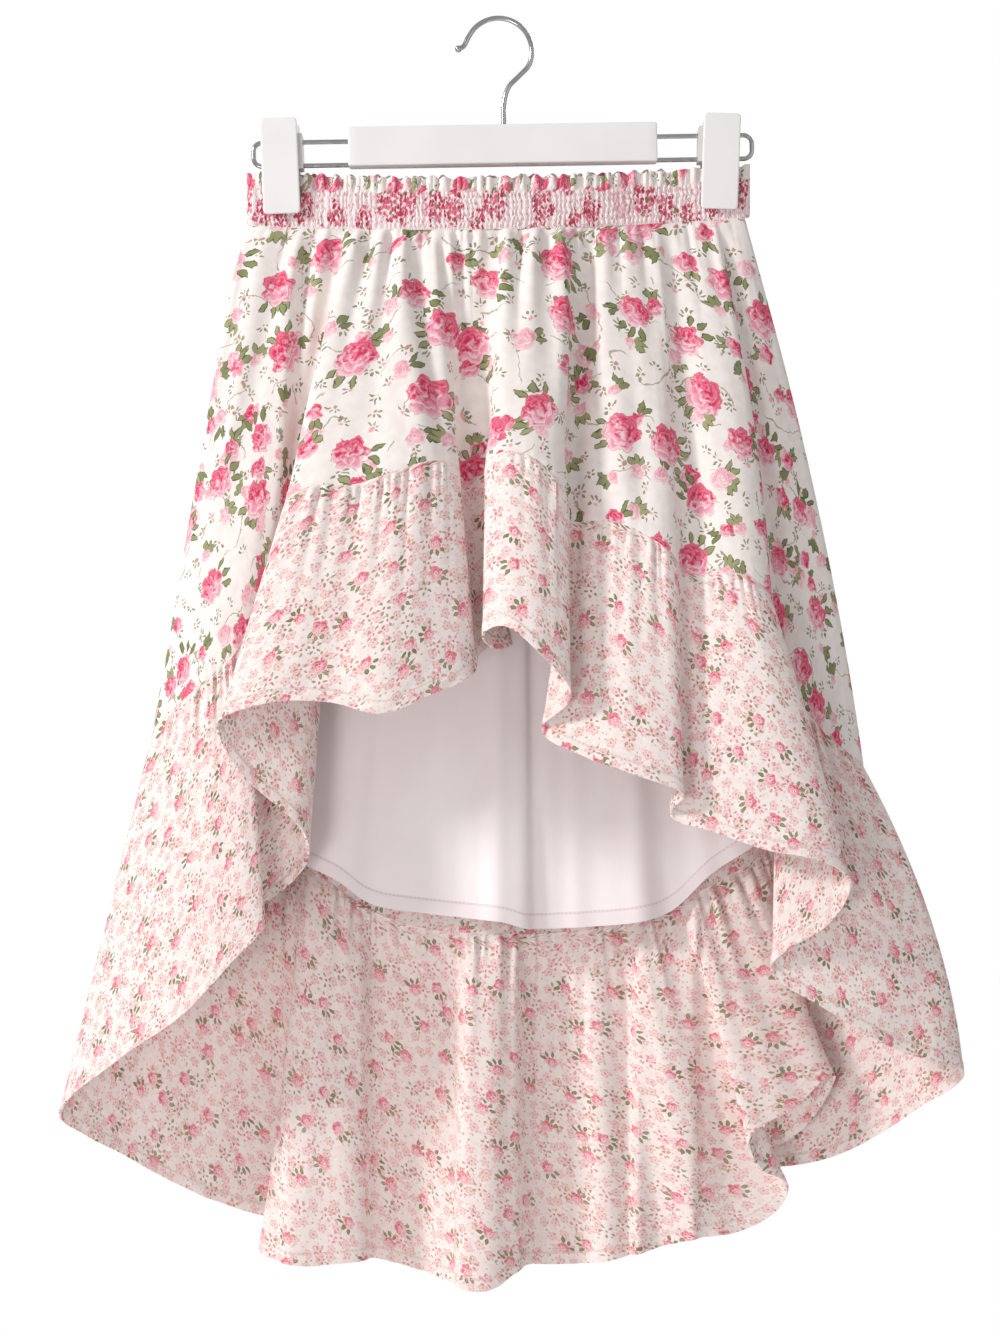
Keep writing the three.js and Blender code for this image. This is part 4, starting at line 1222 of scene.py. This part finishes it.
def hook_piece():
    """Hook: a bead at its tip, most of a circle, and a bend back to the neck."""
    middle = np.array((0, 0, HOOK["wire"] - HOOK["radius"]))
    turned = [np.cos(HOOK_TURNS), 0 * HOOK_TURNS, np.sin(HOOK_TURNS)]
    arc = middle + HOOK["radius"] * np.stack(turned, axis=-1)
    foot = BAR["height"] / 2 - BAR["drop"] - HOOK["seat"]
    neck = [(HOOK["neck_x"], 0, z) for z in (-HOOK["neck_bend"], -NECK_STRAIGHT_FROM, foot)]
    points = np.vstack([HOOK_TIP, arc, HOOK_BEND, neck])
    path = curve(points, np.linspace(0, 1, HOOK_STEPS), False)
    piece = wire_tube("hook_wire", path, HOOK["wire"], HOOK["bead"])
    return finish_piece(piece, "hanger_hook")


def loop_piece(end, side):
    """One end's wire: out of the bar, round the end and back."""
    start = end * (BAR["width"] / 2 - WIRE["seat"] + 1)
    far, corner = end * WIRE["reach"], WIRE["corner"]
    top, foot = WIRE["above"], -WIRE["below"]
    turn = np.linspace(0, math.pi / 2, CORNER_STEPS)
    across = far - end * corner * (1 - np.sin(turn))
    upper = np.stack([across, 0 * turn, top - corner * (1 - np.cos(turn))], axis=-1)
    lower = upper[::-1] * (1, 1, -1) + (0, 0, top + foot)
    path = np.vstack([(start, 0, top), upper, lower, (start, 0, foot)])
    piece = wire_tube(f"loop_wire_{side}", moved_by(BAR_FRAME, path), WIRE["radius"])
    return finish_piece(piece, f"hanger_wire_{side}")


def board(name, size, frame_matrix):
    """A moulded board facing the front, with round corners and softened edges."""
    corner, edge = size["round"], size["edge"]
    outline = []
    for quarter, cx, cz in ((-1, 1, -1), (0, 1, 1), (1, -1, 1), (2, -1, -1)):
        x, z = cx * (size["width"] / 2 - corner), cz * (size["height"] / 2 - corner)
        for k in range(BOARD_CORNER_STEPS + 1):
            turn = math.pi / 2 * (quarter + k / BOARD_CORNER_STEPS)
            outline.append((x, z, math.cos(turn), math.sin(turn)))
    middle_x, middle_z, out_x, out_z = np.array(outline).T
    front = [(edge * in_by - size["depth"] / 2, edge * out_by) for in_by, out_by in EDGE_PROFILE]
    back = [(-y, out_by) for y, out_by in front[::-1]]
    rings = []
    for y, out_by in front + back:
        reach = corner - edge + out_by
        x, z = middle_x + reach * out_x, middle_z + reach * out_z
        rings.append(np.stack([x, np.full(len(x), y), z], axis=-1))
    rings = [rings[0] * FACE_INSET, *rings, rings[-1] * FACE_INSET]
    faces = ring_faces(len(rings), len(outline))
    points = moved_by(frame_matrix, np.vstack(rings))
    return mesh_piece(name, points, faces, [WHITE_PLASTIC], sharp=35)


def bar_piece():
    """Bar: a flat board that both wires and the hook are set in."""
    return finish_piece(board("bar_board", BAR, BAR_FRAME), "hanger_bar")


def plate_piece(side, x, drop, lean, face):
    """One plate of a clip: it bites at its lower edge and leans out towards its upper one."""
    label = SIDE[face]
    spread = math.radians(PLATE["spread"])
    out = BITE + PLATE["height"] / 2 * math.sin(spread) + PLATE["depth"] / 2
    where = (
        Matrix.Translation((x, 0, -drop))
        @ Matrix.Rotation(math.radians(lean), 4, "Y")
        @ Matrix.Translation((0, face * out, 0))
        @ Matrix.Rotation(-face * spread, 4, "X")
    )
    piece = board(f"plate_{side}_{label}", PLATE, where)
    return finish_piece(piece, f"clip_{side}_{label}")


# Build everything.
flounces = {side: flounce_piece(side) for side in SIDE}
bodies = {side: body_piece(side) for side in SIDE}
bands = {side: band_piece(side) for side in SIDE}
lining = lining_piece()
hook_piece()
bar_piece()
for side, x, drop, lean in CLIPS:
    loop_piece(-1 if side == "left" else 1, side)
    for face in SIDE:
        plate_piece(side, x, drop, lean, face)
    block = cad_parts[f"clip_{side}_saddle"]
    block.data.materials.clear()
    block.data.materials.append(GREY_PLASTIC)

# Camera, light and floor. The camera stands where the photograph was taken from, in metres.
CAMERA_PLACE = (0.0009, -1.5, -0.3876)
CAMERA_SENSOR = 36
CAMERA_LENS = 67.5
MIDDLE = (0, 0, -0.38)
OPENING = (0, 0.03, -0.5)
AMBIENT = 0.44
AMBIENT_TINT = (1, 0.975, 0.968, 1)
SEEN_WHITE = (1, 1, 1, 1)
# Each light's name, place, aim, width in metres, power in watts and colour.
LIGHTS = (
    ("key", (-2.0, -0.95, 0.7), MIDDLE, 0.45, 39, (1, 0.99, 0.975)),
    ("fill", (1.6, -1.6, -0.1), MIDDLE, 1.4, 3.0, (0.97, 0.985, 1)),
    ("back", (0.9, 1.8, 0.8), MIDDLE, 0.9, 15, (1, 1, 1)),
    ("low", (-0.65, -1.1, -0.95), OPENING, 0.5, 4.6, (1, 0.94, 0.93)),
)
scene = bpy.context.scene
camera = bpy.data.objects.new("camera", bpy.data.cameras.new("camera"))
camera.location = CAMERA_PLACE
camera.rotation_euler = (math.pi / 2, 0, 0)
camera.data.sensor_fit = "VERTICAL"
camera.data.sensor_height = CAMERA_SENSOR
camera.data.lens = CAMERA_LENS
camera.data.clip_start = 0.05
scene.collection.objects.link(camera)
scene.camera = camera

for name, where, aim, width, power, colour in LIGHTS:
    data = bpy.data.lights.new(name, "AREA")
    data.shape = "DISK"
    data.size = width
    data.energy = power
    data.color = colour
    light = bpy.data.objects.new(name, data)
    light.location = where
    light.rotation_euler = (Vector(aim) - Vector(where)).to_track_quat("-Z", "Y").to_euler()
    scene.collection.objects.link(light)
scene.view_settings.view_transform = "Standard"

# The camera sees a white studio, and the cloth is lit by a dimmer and warmer one.
world = bpy.data.worlds.new("pale studio")
scene.world = world
world.use_nodes = True
sky = Nodes(world.node_tree)
seen = sky.add("LightPath").outputs["Is Camera Ray"]
studio = world.node_tree.nodes["Background"].inputs
sky.put(studio["Strength"], sky.times_plus(seen, 1 - AMBIENT, AMBIENT))
sky.put(studio["Color"], sky.mix(seen, AMBIENT_TINT, SEEN_WHITE))

FLOOR_DROP = 955
FLOOR_HALF = 600
corners = [(x * FLOOR_HALF, y * FLOOR_HALF, -FLOOR_DROP) for x, y in ((-1, -1), (1, -1), (1, 1), (-1, 1))]
floor_material = moulded_material("pale floor", FLOOR_TONES, 0.7)
floor = mesh_piece("floor", corners, [[0, 1, 2, 3]], [floor_material])
